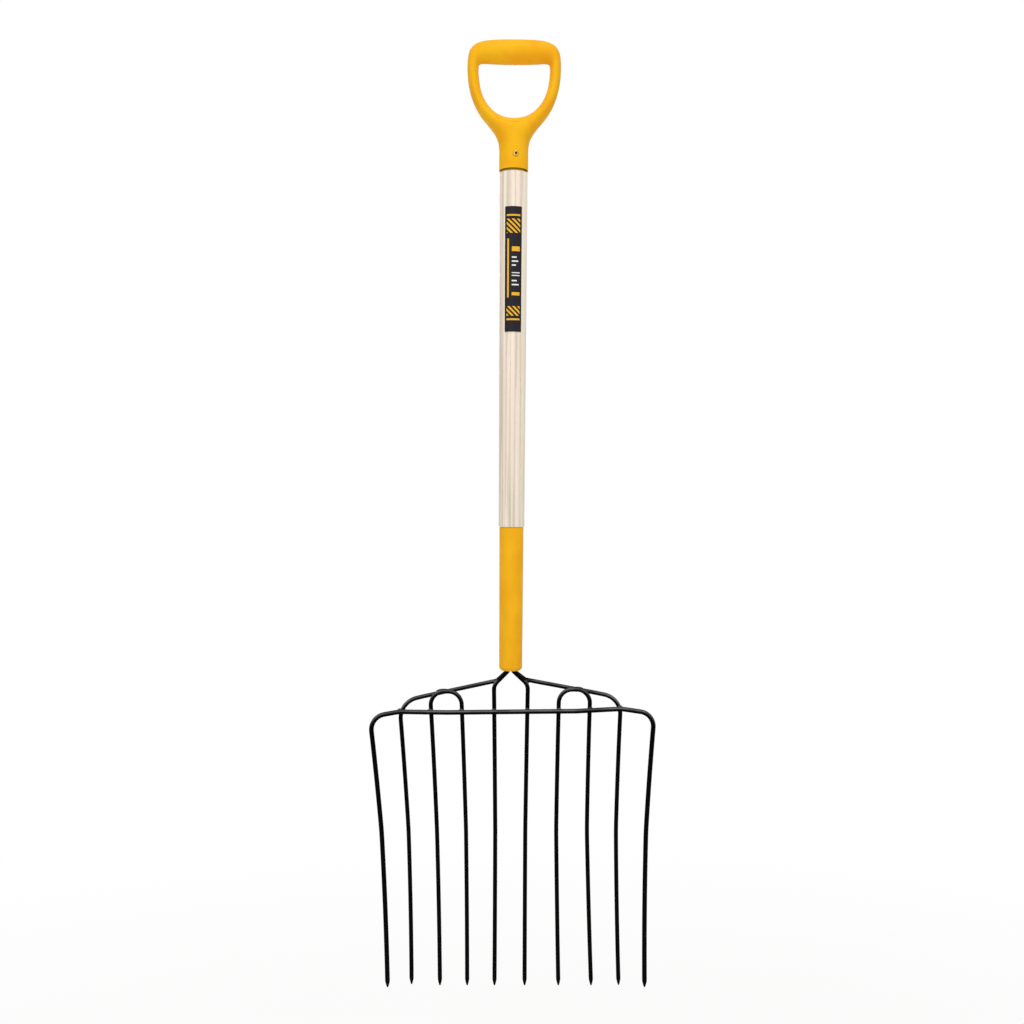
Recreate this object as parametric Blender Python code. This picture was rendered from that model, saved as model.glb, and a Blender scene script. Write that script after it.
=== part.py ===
"""Ensilage fork with ten steel tines, a short ash shaft and a moulded D grip.

The shaft's axis is world Z. The origin is the underside of the grip bar, in the middle,
where the fork hangs from a hook. +X is to the right and -Y is towards whoever faces the
hollow side of the head. All sizes are in metres.
"""

import math

import bmesh
import bpy
from mathutils import Matrix, Vector

# Clearance between two pieces that touch on the real fork
TOUCH_GAP = 0.0003

# D grip: bar, arms and hand opening
GRIP_WIDTH = 0.1186
GRIP_BAR_HEIGHT = 0.0316
GRIP_BAR_DEPTH = 0.0280
GRIP_BAR_BELLY = 0.0024
GRIP_BELLY_POWER = 16
GRIP_ARM_DEPTH = 0.0240
GRIP_YOKE_DEPTH = 0.0345
GRIP_WIDEST_DROP = 0.0075
GRIP_OUTER_REACH = 0.0830
HAND_OPENING_WIDTH = 0.0900
HAND_OPENING_HEIGHT = 0.0681
GRIP_CORNER_POWER = 3.9
OPENING_CORNER_POWER = 7.0
OPENING_FOOT_POWER = 2.2
ARM_TO_BAR_POWER = 2
ARM_TO_YOKE_POWER = 3

# Grip socket
SOCKET_TOP_DROP = 0.0965
SOCKET_RIM_DROP = 0.1348
SOCKET_WALL = 0.0030
SOCKET_STEP = 0.0006
SOCKET_SLOT = 0.0022
SOCKET_YOKE_RISE = 0.0060

# Screw through the socket
SCREW_DROP = 0.1171
SCREW_TURN = math.radians(8.4)
SCREW_HEAD_DIAMETER = 0.0070
SCREW_HEAD_HEIGHT = 0.0021
SCREW_SHANK_DIAMETER = 0.0036
SCREW_LENGTH = 0.0150
SCREW_POINT_LENGTH = 0.0040
SCREW_SEAT_DEPTH = 0.0008
SCREW_CROWN = ((1.0, 0.35), (0.86, 0.75), (0.55, 0.95))
RECESS_WIDTH = 0.0009
RECESS_SPAN = 0.0036
RECESS_DEPTH = 0.0012

# Ash shaft
SHAFT_TOP_DIAMETER = 0.0357
SHAFT_EXPOSED_LENGTH = 0.4501
TOP_TENON_LENGTH = 0.0370
FERRULE_STEP = 0.0010
SHAFT_EDGE_ROUND = 0.0008

# Label round the front of the shaft
LABEL_LENGTH = 0.1576
LABEL_TOP_OFFSET = 0.0464
LABEL_ARC = math.radians(70.5)
LABEL_TURN = math.radians(0.9)
LABEL_THICKNESS = 0.0003

# Steel ferrule
FERRULE_LENGTH = 0.1819
FERRULE_TOP_DIAMETER = 0.0307
FERRULE_FOOT_DIAMETER = 0.0292
FERRULE_WALL = 0.0015
FERRULE_LIP_RADIUS = 0.0054
SHAFT_END_HEIGHT = 0.0300
TANG_LENGTH = 0.1150

# Steel rods
TINE_DIAMETER = 0.0055
TINE_END_DIAMETER = 0.0052
TINE_POINT_LENGTH = 0.0070
TINE_POINT_DIAMETER = 0.0012
BOW_DIAMETER = 0.0061

# Head, seen from the front: distances from the centre line and drops below the ferrule.
# The bends were made by hand, so the left one comes first where the two sides differ.
HEAD_LENGTH = 0.3710
HEAD_SHIFT = -0.0006
BOW_OVERREACH = 0.0394
BOW_SHIFT = 0.0025
BOW_CORNER_RADII = (0.0250, 0.0187)
BAR_DROP = 0.0522
# Each bend of the bar: how far across, and how far above BAR_DROP.
BAR_BENDS = ((-0.1408, 0.0006), (-0.0800, -0.0003), (0.0840, 0.0013), (0.1408, 0.0042))
BAR_BEND_RADIUS = 0.0600
BOW_CORNER_FALLS = (0.0060, 0.0021)
CENTRE_TINE_SPACING = 0.0430
ELBOW_SHIFT = 0.0010
HAIRPIN_WIDTH = 0.0396
HAIRPIN_CENTRE = 0.0820
HAIRPIN_BEND_RADIUS = 0.0170
HAIRPIN_HANGS = (-0.0007, 0.0001)
SHOULDER_REACH = 0.1408
SHOULDER_CORNER_DROPS = (0.0401, 0.0352)
SHOULDER_CORNER_RADII = (0.0255, 0.0240)
ELBOW_INSET = 0.0036
ELBOW_DROPS = (0.0134, 0.0119)
ELBOW_RADIUS = 0.0070
CENTRE_ELBOW_DROPS = (0.0185, 0.0178)
CENTRE_ELBOW_RADIUS = 0.0140
MOUTH_BEND_DROP = -0.0001
MOUTH_BEND_RADIUS = 0.0060
MOUTH_EASE = 0.0200

# Tines: even spacing of the points, and how far each hand-set tine strays to the right,
# at its point and half-way down
TIP_SPACING = 0.0358
TIP_STRAY = (0.0135, 0.0058, 0.0046, 0.0017, -0.0011, -0.0005, 0.0045, 0.0083, 0.0058, 0.0007)
MID_TINE_STRAY = (0.0023, 0.0027, 0.0017, 0.0018, 0.0015, -0.0006, -0.0024, -0.0033, -0.0030, -0.0025)
MID_TINE_DROP = 0.1990
MID_TINE_RADIUS = 0.5000

# Dish of the head, seen from the side
DISH_RADIUS = 0.6000
NECK_LEAN = math.radians(7.0)
HEAD_TILT = math.radians(0.37)

# Weld beads
BEAD_REACH = 0.0041
SHOULDER_BEAD_INSET = 0.0011
BEAD_THICKNESS = 0.0046
HAIRPIN_BEAD_LENGTH = 0.0180
HAIRPIN_BEAD_HEIGHT = 0.0068
HAIRPIN_BEAD_OUTWARD = 0.0030
BRANCH_BEAD_REACH = 0.0041
BRANCH_BEAD_OUTWARD = 0.0014
BRANCH_BEAD_DROP = 0.0016

# The tines of each half of the head, from its edge to its middle
TINE_ORDER = ("bow", "shoulder", "hairpin_outer", "hairpin_inner", "centre")

# Facets
TURNED_SIDES = 32
SCREW_SIDES = 16
LIP_STEPS = 5
LABEL_COLUMNS = 10
LABEL_ROWS = 4
WELD_SIDES = 14
WELD_RINGS = 6
MERGE_DISTANCE = 0.000001
SMOOTH_ANGLE = math.radians(35.0)
GRIP_SMOOTH_ANGLE = math.radians(50.0)
ROD_SIDES = 10
BEND_STEP = math.radians(16.0)
LARGEST_BEND_SHARE = 0.49
RUN_STEP = 0.0160
GRIP_STATIONS = 24
GRIP_SECTION_POINTS = 8
GRIP_SUBDIVISIONS = 1

# Colour, roughness and metallic share of each material
YELLOW_PLASTIC = ((0.930, 0.460, 0.016), 0.42, 0.0)
YELLOW_PAINT = ((0.840, 0.410, 0.018), 0.38, 0.0)
BLACK_ENAMEL = ((0.010, 0.010, 0.011), 0.40, 0.0)
LACQUERED_ASH = ((0.800, 0.660, 0.540), 0.45, 0.0)
LABEL_FILM = ((0.030, 0.028, 0.029), 0.35, 0.0)
ZINC_PLATE = ((0.620, 0.470, 0.180), 0.30, 1.0)

# Places worked out from the sizes above
SHAFT_TOP_RADIUS = SHAFT_TOP_DIAMETER / 2
SHAFT_FOOT_RADIUS = FERRULE_TOP_DIAMETER / 2 + FERRULE_STEP
SOCKET_RADIUS = SHAFT_TOP_RADIUS + SOCKET_STEP
SOCKET_BORE_RADIUS = SOCKET_RADIUS - SOCKET_WALL
RIM_Z = -SOCKET_RIM_DROP
SHAFT_SHOULDER_Z = RIM_Z - SOCKET_SLOT
FERRULE_TOP_Z = SHAFT_SHOULDER_Z - SHAFT_EXPOSED_LENGTH
MOUTH_Z = FERRULE_TOP_Z - FERRULE_LENGTH
SHAFT_END_Z = MOUTH_Z + SHAFT_END_HEIGHT
TANG_OFFSET = (TINE_DIAMETER + TOUCH_GAP) / 2
TANG_BORE_RADIUS = math.hypot(TANG_OFFSET, TANG_OFFSET) + TINE_DIAMETER / 2 + TOUCH_GAP
BOW_LAYER = -(TINE_DIAMETER / 2 + BOW_DIAMETER / 2 + TOUCH_GAP)
BACK_LAYER = TINE_DIAMETER + TOUCH_GAP
LAST_TINE = len(TIP_STRAY)
BOW_WIDTH = 2 * (SHOULDER_REACH + BOW_OVERREACH)
ELBOW_REACH = CENTRE_TINE_SPACING / 2 - ELBOW_INSET


def clear_scene():
    """Remove every object that the file opened with."""
    for item in list(bpy.data.objects):
        bpy.data.objects.remove(item, do_unlink=True)


def make_material(name, look):
    """One plain Principled material from its colour, roughness and metallic share."""
    colour, roughness, metallic = look
    material = bpy.data.materials.new(name)
    material.use_nodes = True
    shader = material.node_tree.nodes["Principled BSDF"]
    shader.inputs["Base Color"].default_value = (*colour, 1.0)
    shader.inputs["Roughness"].default_value = roughness
    shader.inputs["Metallic"].default_value = metallic
    material.diffuse_color = (*colour, 1.0)
    return material


def object_from_bmesh(name, shape, material=None, smooth_angle=SMOOTH_ANGLE):
    """Turn a finished bmesh into a linked object with smooth round faces."""
    mesh = bpy.data.meshes.new(name)
    shape.to_mesh(mesh)
    shape.free()
    mesh.shade_smooth()
    mesh.set_sharp_from_angle(angle=smooth_angle)
    item = bpy.data.objects.new(name, mesh)
    bpy.context.scene.collection.objects.link(item)
    if material is not None:
        mesh.materials.append(material)
    return item


def make_cutter(item):
    """Keep a cutting shape out of the picture and out of the part."""
    item.hide_render = True
    item.display_type = "WIRE"
    return item


def cut_with(item, cutters):
    """Cut each of the cutters out of an object."""
    for cutter in cutters:
        boolean = item.modifiers.new("cut_" + cutter.name, "BOOLEAN")
        boolean.operation = "DIFFERENCE"
        boolean.solver = "EXACT"
        boolean.object = cutter


def turned_shape(profile, sides=TURNED_SIDES):
    """Spin a closed outline of (radius, height) points round the Z axis."""
    shape = bmesh.new()
    corners = [shape.verts.new((radius, 0.0, height)) for radius, height in profile]
    sides_of_outline = []
    for index, corner in enumerate(corners):
        following = corners[(index + 1) % len(corners)]
        on_axis = profile[index][0] == 0.0 and profile[(index + 1) % len(corners)][0] == 0.0
        if not on_axis:
            sides_of_outline.append(shape.edges.new((corner, following)))
    bmesh.ops.spin(
        shape,
        geom=corners + sides_of_outline,
        axis=(0.0, 0.0, 1.0),
        cent=(0.0, 0.0, 0.0),
        angle=2 * math.pi,
        steps=sides,
        use_merge=True,
    )
    bmesh.ops.remove_doubles(shape, verts=shape.verts, dist=MERGE_DISTANCE)
    bmesh.ops.recalc_face_normals(shape, faces=shape.faces)
    return shape


def signed_power(value, power):
    """Raise to a power and keep the sign, for superellipse outlines."""
    return math.copysign(abs(value) ** power, value)


def grip_edges(angle):
    """Inner and outer edge of the grip at one angle round the hand opening."""
    across = math.cos(angle)
    up = math.sin(angle)
    if up >= 0.0:
        outer_power = 2 / GRIP_CORNER_POWER
        inner_power = 2 / OPENING_CORNER_POWER
        outer_height = GRIP_BAR_HEIGHT + GRIP_WIDEST_DROP
        inner_height = GRIP_BAR_BELLY + GRIP_WIDEST_DROP
    else:
        outer_power = 1.0
        inner_power = 2 / OPENING_FOOT_POWER
        outer_height = GRIP_OUTER_REACH
        inner_height = HAND_OPENING_HEIGHT - GRIP_WIDEST_DROP
    belly = GRIP_BAR_BELLY * max(up, 0.0) ** GRIP_BELLY_POWER
    inner = Vector((
        HAND_OPENING_WIDTH / 2 * signed_power(across, inner_power),
        0.0,
        -GRIP_WIDEST_DROP + inner_height * signed_power(up, inner_power) - belly,
    ))
    outer = Vector((
        GRIP_WIDTH / 2 * signed_power(across, outer_power),
        0.0,
        -GRIP_WIDEST_DROP + outer_height * signed_power(up, outer_power),
    ))
    return inner, outer


def grip_half_depth(angle):
    """Half of the grip's front-to-back depth at one angle round the hand opening."""
    up = math.sin(angle)
    if up >= 0.0:
        depth = GRIP_ARM_DEPTH + (GRIP_BAR_DEPTH - GRIP_ARM_DEPTH) * up ** ARM_TO_BAR_POWER
    else:
        depth = GRIP_ARM_DEPTH + (GRIP_YOKE_DEPTH - GRIP_ARM_DEPTH) * abs(up) ** ARM_TO_YOKE_POWER
    return depth / 2


def cage_swell(points):
    """How far a control ring stands outside the cubic spline round that it makes."""
    return 3 / (2 + math.cos(2 * math.pi / points))


def grip_cage():
    """Control cage of the D grip: a loop round the hand opening, joined to a round socket."""
    shape = bmesh.new()
    section_swell = cage_swell(GRIP_SECTION_POINTS)
    loop_swell = cage_swell(GRIP_STATIONS)
    middle = Vector((0.0, 0.0, -GRIP_WIDEST_DROP))
    foot = GRIP_STATIONS * 3 // 4
    joined = range(foot - 1, foot + 2)
    open_ends = (foot - 2, foot + 2)
    socket_yoke_z = SOCKET_YOKE_RISE - SOCKET_TOP_DROP
    loop = []
    for station in range(GRIP_STATIONS):
        angle = 2 * math.pi * station / GRIP_STATIONS
        inner, outer = grip_edges(angle)
        half_depth = grip_half_depth(angle)
        if station in joined:
            outer = Vector((inner.x, 0.0, socket_yoke_z))
        inner = middle + (inner - middle) * loop_swell
        outer = middle + (outer - middle) * loop_swell
        centre = (inner + outer) / 2
        half_width = (outer - inner) / 2
        ring = {}
        for point in range(GRIP_SECTION_POINTS):
            turn = 2 * math.pi * point / GRIP_SECTION_POINTS
            if station in joined and point == 0:
                continue
            depth = half_depth * math.sin(turn) * section_swell
            if station in joined and point in (1, GRIP_SECTION_POINTS - 1):
                depth = math.copysign(SOCKET_RADIUS, depth)
            place = centre + half_width * (math.cos(turn) * section_swell)
            ring[point] = shape.verts.new((place.x, -depth, place.z))
        loop.append(ring)
    for station in range(GRIP_STATIONS):
        after = (station + 1) % GRIP_STATIONS
        for point in range(GRIP_SECTION_POINTS):
            beyond = (point + 1) % GRIP_SECTION_POINTS
            opens_into_socket = open_ends[0] <= station < open_ends[1] and 0 in (point, beyond)
            if not opens_into_socket:
                ring, next_ring = loop[station], loop[after]
                shape.faces.new((ring[point], next_ring[point], next_ring[beyond], ring[beyond]))
    last_point = GRIP_SECTION_POINTS - 1
    front = [loop[station][1] for station in range(open_ends[1], open_ends[0] - 1, -1)]
    back = [loop[station][last_point] for station in range(open_ends[0], open_ends[1] + 1)]
    upper = [loop[open_ends[1]][0]] + front + [loop[open_ends[0]][0]] + back
    socket_swell = cage_swell(len(upper))
    below_rim_z = RIM_Z - SOCKET_RADIUS
    mid_socket_z = (RIM_Z - SOCKET_TOP_DROP) / 2
    for height in (-SOCKET_TOP_DROP, mid_socket_z, RIM_Z, below_rim_z):
        lower = []
        for index in range(len(upper)):
            turn = -2 * math.pi * index / len(upper)
            radius = SOCKET_RADIUS * socket_swell
            lower.append(shape.verts.new((radius * math.cos(turn), radius * math.sin(turn), height)))
        for index in range(len(upper)):
            beyond = (index + 1) % len(upper)
            shape.faces.new((upper[index], upper[beyond], lower[beyond], lower[index]))
        upper = lower
    shape.faces.new(upper)
    bmesh.ops.recalc_face_normals(shape, faces=shape.faces)
    return shape


def screw_frame():
    """Place of the screw: its local +Z points out of the socket wall."""
    outward = Vector((math.sin(SCREW_TURN), -math.cos(SCREW_TURN), 0.0))
    seat = outward * (SOCKET_RADIUS - SCREW_SEAT_DEPTH)
    seat.z = -SCREW_DROP
    turn = outward.to_track_quat("Z", "Y").to_matrix().to_4x4()
    return Matrix.Translation(seat) @ turn


def make_screw_hole_cutter(name, shank_radius, depth, seat_radius=None):
    """Clearance hole for the screw, with an optional flat seat for its head."""
    outside = SCREW_HEAD_HEIGHT * 2
    if seat_radius is None:
        profile = [(0.0, -depth), (shank_radius, -depth), (shank_radius, outside), (0.0, outside)]
    else:
        profile = [
            (0.0, -depth),
            (shank_radius, -depth),
            (shank_radius, 0.0),
            (seat_radius, 0.0),
            (seat_radius, outside),
            (0.0, outside),
        ]
    cutter = object_from_bmesh(name, turned_shape(profile, sides=SCREW_SIDES))
    cutter.matrix_world = screw_frame()
    return make_cutter(cutter)


def make_grip(material):
    """Moulded grip with a blind socket for the shaft and a hole for its screw."""
    grip = object_from_bmesh("d_grip", grip_cage(), material, GRIP_SMOOTH_ANGLE)
    smooth = grip.modifiers.new("smooth", "SUBSURF")
    smooth.levels = GRIP_SUBDIVISIONS
    smooth.render_levels = GRIP_SUBDIVISIONS
    bore_top = RIM_Z + TOP_TENON_LENGTH
    outside = SOCKET_RADIUS * 2
    bore_profile = [
        (0.0, bore_top),
        (SOCKET_BORE_RADIUS, bore_top),
        (SOCKET_BORE_RADIUS, RIM_Z),
        (outside, RIM_Z),
        (outside, RIM_Z - outside),
        (0.0, RIM_Z - outside),
    ]
    bore = make_cutter(object_from_bmesh("socket_bore", turned_shape(bore_profile)))
    hole = make_screw_hole_cutter(
        "grip_screw_hole",
        SCREW_SHANK_DIAMETER / 2 + TOUCH_GAP,
        SCREW_LENGTH,
        SCREW_HEAD_DIAMETER / 2 + TOUCH_GAP,
    )
    cut_with(grip, [bore, hole])
    return grip


def make_screw(material):
    """Pan-head screw with a cross recess, set square to the socket wall."""
    head_radius = SCREW_HEAD_DIAMETER / 2
    shank_radius = SCREW_SHANK_DIAMETER / 2
    seat = TOUCH_GAP
    top = seat + SCREW_HEAD_HEIGHT
    point_start = -(SCREW_LENGTH - SCREW_POINT_LENGTH)
    profile = [
        (0.0, -SCREW_LENGTH + TOUCH_GAP),
        (shank_radius, point_start),
        (shank_radius, seat),
        (head_radius, seat),
    ]
    for reach, rise in SCREW_CROWN:
        profile.append((head_radius * reach, seat + SCREW_HEAD_HEIGHT * rise))
    profile.append((0.0, top))
    screw = object_from_bmesh("grip_screw", turned_shape(profile, sides=SCREW_SIDES), material)
    screw.matrix_world = screw_frame()
    cutters = []
    for arm, (width, span) in enumerate(((RECESS_WIDTH, RECESS_SPAN), (RECESS_SPAN, RECESS_WIDTH))):
        slot = bmesh.new()
        size = Matrix.Diagonal((width, span, RECESS_DEPTH * 2, 1.0))
        bmesh.ops.create_cube(slot, size=1.0, matrix=Matrix.Translation((0.0, 0.0, top)) @ size)
        cutter = make_cutter(object_from_bmesh("recess_arm_%d" % (arm + 1), slot))
        cutter.matrix_world = screw_frame()
        cutters.append(cutter)
    cut_with(screw, cutters)
    return screw


def make_shaft(material):
    """Ash shaft: a tenon for the grip, a slight taper, and a bored tenon for the ferrule."""
    top_radius = SOCKET_BORE_RADIUS - TOUCH_GAP
    tenon_top_z = RIM_Z + TOP_TENON_LENGTH - TOUCH_GAP
    shoulder_z = FERRULE_TOP_Z + TOUCH_GAP
    top_inside, foot_inside = ferrule_inner_radii()
    tenon_top_radius = top_inside - TOUCH_GAP
    fraction = (FERRULE_TOP_Z - SHAFT_END_Z) / FERRULE_LENGTH
    tenon_foot_radius = top_inside + (foot_inside - top_inside) * fraction - TOUCH_GAP
    tang_top_z = MOUTH_Z + TANG_LENGTH + TOUCH_GAP
    edge = SHAFT_EDGE_ROUND
    profile = [
        (0.0, tenon_top_z),
        (top_radius - edge, tenon_top_z),
        (top_radius, tenon_top_z - edge),
        (top_radius, SHAFT_SHOULDER_Z),
        (SHAFT_TOP_RADIUS - edge, SHAFT_SHOULDER_Z),
        (SHAFT_TOP_RADIUS, SHAFT_SHOULDER_Z - edge),
        (SHAFT_FOOT_RADIUS, shoulder_z + edge),
        (SHAFT_FOOT_RADIUS - edge / 2, shoulder_z),
        (tenon_top_radius, shoulder_z),
        (tenon_foot_radius, SHAFT_END_Z),
        (TANG_BORE_RADIUS, SHAFT_END_Z),
        (TANG_BORE_RADIUS, tang_top_z),
        (0.0, tang_top_z),
    ]
    shaft = object_from_bmesh("ash_shaft", turned_shape(profile), material)
    pilot = make_screw_hole_cutter(
        "shaft_pilot_hole",
        SCREW_SHANK_DIAMETER / 2 + TOUCH_GAP,
        SCREW_LENGTH + TOUCH_GAP,
    )
    cut_with(shaft, [pilot])
    return shaft


def shaft_radius_at(height):
    """Radius of the bare shaft at one height."""
    run = (SHAFT_SHOULDER_Z - height) / SHAFT_EXPOSED_LENGTH
    return SHAFT_TOP_RADIUS + (SHAFT_FOOT_RADIUS - SHAFT_TOP_RADIUS) * run


def make_label(material):
    """Thin film that wraps part of the way round the front of the shaft."""
    columns, rows = LABEL_COLUMNS, LABEL_ROWS
    shape = bmesh.new()
    top_z = SHAFT_SHOULDER_Z - LABEL_TOP_OFFSET
    layers = []
    for lift in (TOUCH_GAP, TOUCH_GAP + LABEL_THICKNESS):
        grid = []
        for row in range(rows + 1):
            height = top_z - LABEL_LENGTH * row / rows
            radius = shaft_radius_at(height) + lift
            line = []
            for column in range(columns + 1):
                turn = LABEL_TURN + LABEL_ARC * (column / columns - 0.5)
                place = (radius * math.sin(turn), -radius * math.cos(turn), height)
                line.append(shape.verts.new(place))
            grid.append(line)
        layers.append(grid)
    inner, outer = layers
    for row in range(rows):
        for column in range(columns):
            for grid in layers:
                shape.faces.new((
                    grid[row][column],
                    grid[row][column + 1],
                    grid[row + 1][column + 1],
                    grid[row + 1][column],
                ))
    for row in range(rows):
        for column in (0, columns):
            shape.faces.new((
                inner[row][column],
                outer[row][column],
                outer[row + 1][column],
                inner[row + 1][column],
            ))
    for column in range(columns):
        for row in (0, rows):
            shape.faces.new((
                inner[row][column],
                inner[row][column + 1],
                outer[row][column + 1],
                outer[row][column],
            ))
    bmesh.ops.recalc_face_normals(shape, faces=shape.faces)
    return object_from_bmesh("shaft_label", shape, material)


def ferrule_inner_radii():
    """Bore radius of the ferrule at its top and at its foot."""
    return (
        FERRULE_TOP_DIAMETER / 2 - FERRULE_WALL,
        FERRULE_FOOT_DIAMETER / 2 - FERRULE_WALL,
    )


def make_ferrule(material):
    """Tapered steel tube whose foot is rolled in round the tang."""
    top_inside, foot_inside = ferrule_inner_radii()
    foot_radius = FERRULE_FOOT_DIAMETER / 2
    lip_top_z = MOUTH_Z + FERRULE_LIP_RADIUS
    lip_axis_radius = foot_radius - FERRULE_LIP_RADIUS
    profile = [(FERRULE_TOP_DIAMETER / 2, FERRULE_TOP_Z)]
    for step in range(LIP_STEPS + 1):
        turn = math.pi / 2 * step / LIP_STEPS
        profile.append((
            lip_axis_radius + FERRULE_LIP_RADIUS * math.cos(turn),
            lip_top_z - FERRULE_LIP_RADIUS * math.sin(turn),
        ))
    inner_lip = FERRULE_LIP_RADIUS - FERRULE_WALL
    for step in range(LIP_STEPS, -1, -1):
        turn = math.pi / 2 * step / LIP_STEPS
        profile.append((
            lip_axis_radius + inner_lip * math.cos(turn),
            lip_top_z - inner_lip * math.sin(turn),
        ))
    profile.append((top_inside, FERRULE_TOP_Z))
    return object_from_bmesh("ferrule", turned_shape(profile), material)


def bend_arc(before, here, after, radius):
    """Points of the arc that rounds one corner, within half of the shorter run beside it."""
    back = (before - here).normalized()
    ahead = (after - here).normalized()
    bend = math.pi - back.angle(ahead)
    room = min((before - here).length, (after - here).length) * LARGEST_BEND_SHARE
    cut = min(radius * math.tan(bend / 2), room)
    radius = cut / math.tan(bend / 2)
    steps = max(2, math.ceil(bend / BEND_STEP))
    centre = here + (back + ahead).normalized() * math.hypot(radius, cut)
    start = here + back * cut - centre
    finish = here + ahead * cut - centre
    arc = []
    for step in range(steps + 1):
        share = step / steps
        swing = start * math.sin((1 - share) * bend) + finish * math.sin(share * bend)
        arc.append(centre + swing / math.sin(bend))
    return arc


def rounded_route(corners, layer_at):
    """Places along a bent rod: straight runs between corners, each corner an arc.

    A corner is (across, drop, bend radius) in the front view. layer_at gives how far
    behind the middle layer the rod lies at one distance across.
    """
    flat = [Vector((across, drop)) for across, drop, _ in corners]
    arcs = []
    for index, (_, _, radius) in enumerate(corners):
        if radius == 0.0:
            arcs.append([flat[index]])
        else:
            arcs.append(bend_arc(flat[index - 1], flat[index], flat[index + 1], radius))
    route = list(arcs[0])
    for arc in arcs[1:]:
        start, finish = route[-1], arc[0]
        steps = max(1, math.ceil((finish - start).length / RUN_STEP))
        route += [start.lerp(finish, step / steps) for step in range(1, steps)]
        route += arc
    return [head_point(point.x, point.y, layer_at(point.x)) for point in route]


def in_front(across):
    """Layer of the outer bow, which crosses in front of every other tine."""
    return BOW_LAYER


def in_middle(across):
    """Layer of the hairpins and the centre tines."""
    return 0.0


def behind_hairpin(across):
    """Layer of the shoulder rods: behind the hairpins, then forward to the bar."""
    clear_of_hairpin = HAIRPIN_CENTRE + HAIRPIN_WIDTH / 2 + TINE_DIAMETER
    share = (abs(across) - clear_of_hairpin) / (SHOULDER_REACH - clear_of_hairpin)
    share = min(max(share, 0.0), 1.0)
    return BACK_LAYER * (1 - share * share * (3 - 2 * share))


def dish_depth(drop):
    """How far back the middle layer of the head lies at one drop below the ferrule."""
    if drop <= 0.0:
        return -TANG_OFFSET
    lean = math.asin(drop / DISH_RADIUS - math.sin(NECK_LEAN))
    return -TANG_OFFSET + DISH_RADIUS * (math.cos(lean) - math.cos(NECK_LEAN))


def head_point(across, drop, layer):
    """Place of a point of the head, from its front view and its layer."""
    share = min(max(drop / MOUTH_EASE, 0.0), 1.0)
    tilt = HEAD_TILT * share
    shift = HEAD_SHIFT * share
    side = across * math.cos(tilt) + drop * math.sin(tilt) + shift
    down = drop * math.cos(tilt) - across * math.sin(tilt)
    return Vector((side, dish_depth(drop) + layer, MOUTH_Z - down))


def tine_corners(number, across):
    """Middle and point of one tine, below the bar. Tines are numbered from the left."""
    even = (number - (LAST_TINE + 1) / 2) * TIP_SPACING
    tip = even + TIP_STRAY[number - 1]
    share = (MID_TINE_DROP - BAR_DROP) / (HEAD_LENGTH - BAR_DROP)
    middle = across + (tip - across) * share + MID_TINE_STRAY[number - 1]
    return [
        (middle, MID_TINE_DROP, MID_TINE_RADIUS),
        (tip, HEAD_LENGTH, 0.0),
    ]


def on_side(left_and_right, side):
    """The left value of a pair for side -1, the right one for side +1."""
    return left_and_right[0] if side < 0 else left_and_right[1]


def tine_number(kind, side):
    """Number of a tine, counted from the left."""
    from_edge = TINE_ORDER.index(kind) + 1
    return on_side((from_edge, LAST_TINE + 1 - from_edge), side)


def hairpin_top_drop(side):
    """Drop of a hairpin's top, which hangs at the shoulder rod that crosses it."""
    elbow_drop = on_side(ELBOW_DROPS, side)
    corner_drop = on_side(SHOULDER_CORNER_DROPS, side)
    share = (HAIRPIN_CENTRE - ELBOW_REACH) / (SHOULDER_REACH - ELBOW_REACH)
    return elbow_drop + (corner_drop - elbow_drop) * share + on_side(HAIRPIN_HANGS, side)


def bow_stations():
    """Corners of the bar from its left end to its right end, as (across, drop)."""
    return (
        (-BOW_WIDTH / 2 + BOW_SHIFT, BAR_DROP + BOW_CORNER_FALLS[0]),
        *[(across, BAR_DROP - rise) for across, rise in BAR_BENDS],
        (BOW_WIDTH / 2 + BOW_SHIFT, BAR_DROP + BOW_CORNER_FALLS[1]),
    )


def bow_route():
    """Outer bow: first tine, bar and last tine, bent from one rod."""
    left_radius, right_radius = BOW_CORNER_RADII
    radii = (left_radius, *[BAR_BEND_RADIUS for _ in BAR_BENDS], right_radius)
    stations = bow_stations()
    corners = tine_corners(1, stations[0][0])[::-1]
    corners += [(across, drop, radius) for (across, drop), radius in zip(stations, radii)]
    corners += tine_corners(LAST_TINE, stations[-1][0])
    return rounded_route(corners, in_front)


def hairpin_route(side):
    """Hairpin on one side: two tines and the round top between them."""
    outer = side * (HAIRPIN_CENTRE + HAIRPIN_WIDTH / 2)
    inner = side * (HAIRPIN_CENTRE - HAIRPIN_WIDTH / 2)
    top_drop = hairpin_top_drop(side)
    corners = tine_corners(tine_number("hairpin_outer", side), outer)[::-1]
    corners += [(outer, top_drop, HAIRPIN_BEND_RADIUS), (inner, top_drop, HAIRPIN_BEND_RADIUS)]
    corners += tine_corners(tine_number("hairpin_inner", side), inner)
    return rounded_route(corners, in_middle)


def tang_corners(side):
    """Upper end of a rod that runs up through the ferrule's mouth into the shaft."""
    return [
        (side * TANG_OFFSET, -TANG_LENGTH, 0.0),
        (side * TANG_OFFSET, MOUTH_BEND_DROP, MOUTH_BEND_RADIUS),
    ]


def shoulder_route(side):
    """Rod from the ferrule along the shoulder and down as the second or ninth tine."""
    reach = side * SHOULDER_REACH
    corners = tang_corners(side)
    corners += [
        (side * ELBOW_REACH + ELBOW_SHIFT, on_side(ELBOW_DROPS, side), ELBOW_RADIUS),
        (reach, on_side(SHOULDER_CORNER_DROPS, side), on_side(SHOULDER_CORNER_RADII, side)),
    ]
    corners += tine_corners(tine_number("shoulder", side), reach)
    return rounded_route(corners, behind_hairpin)


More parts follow.
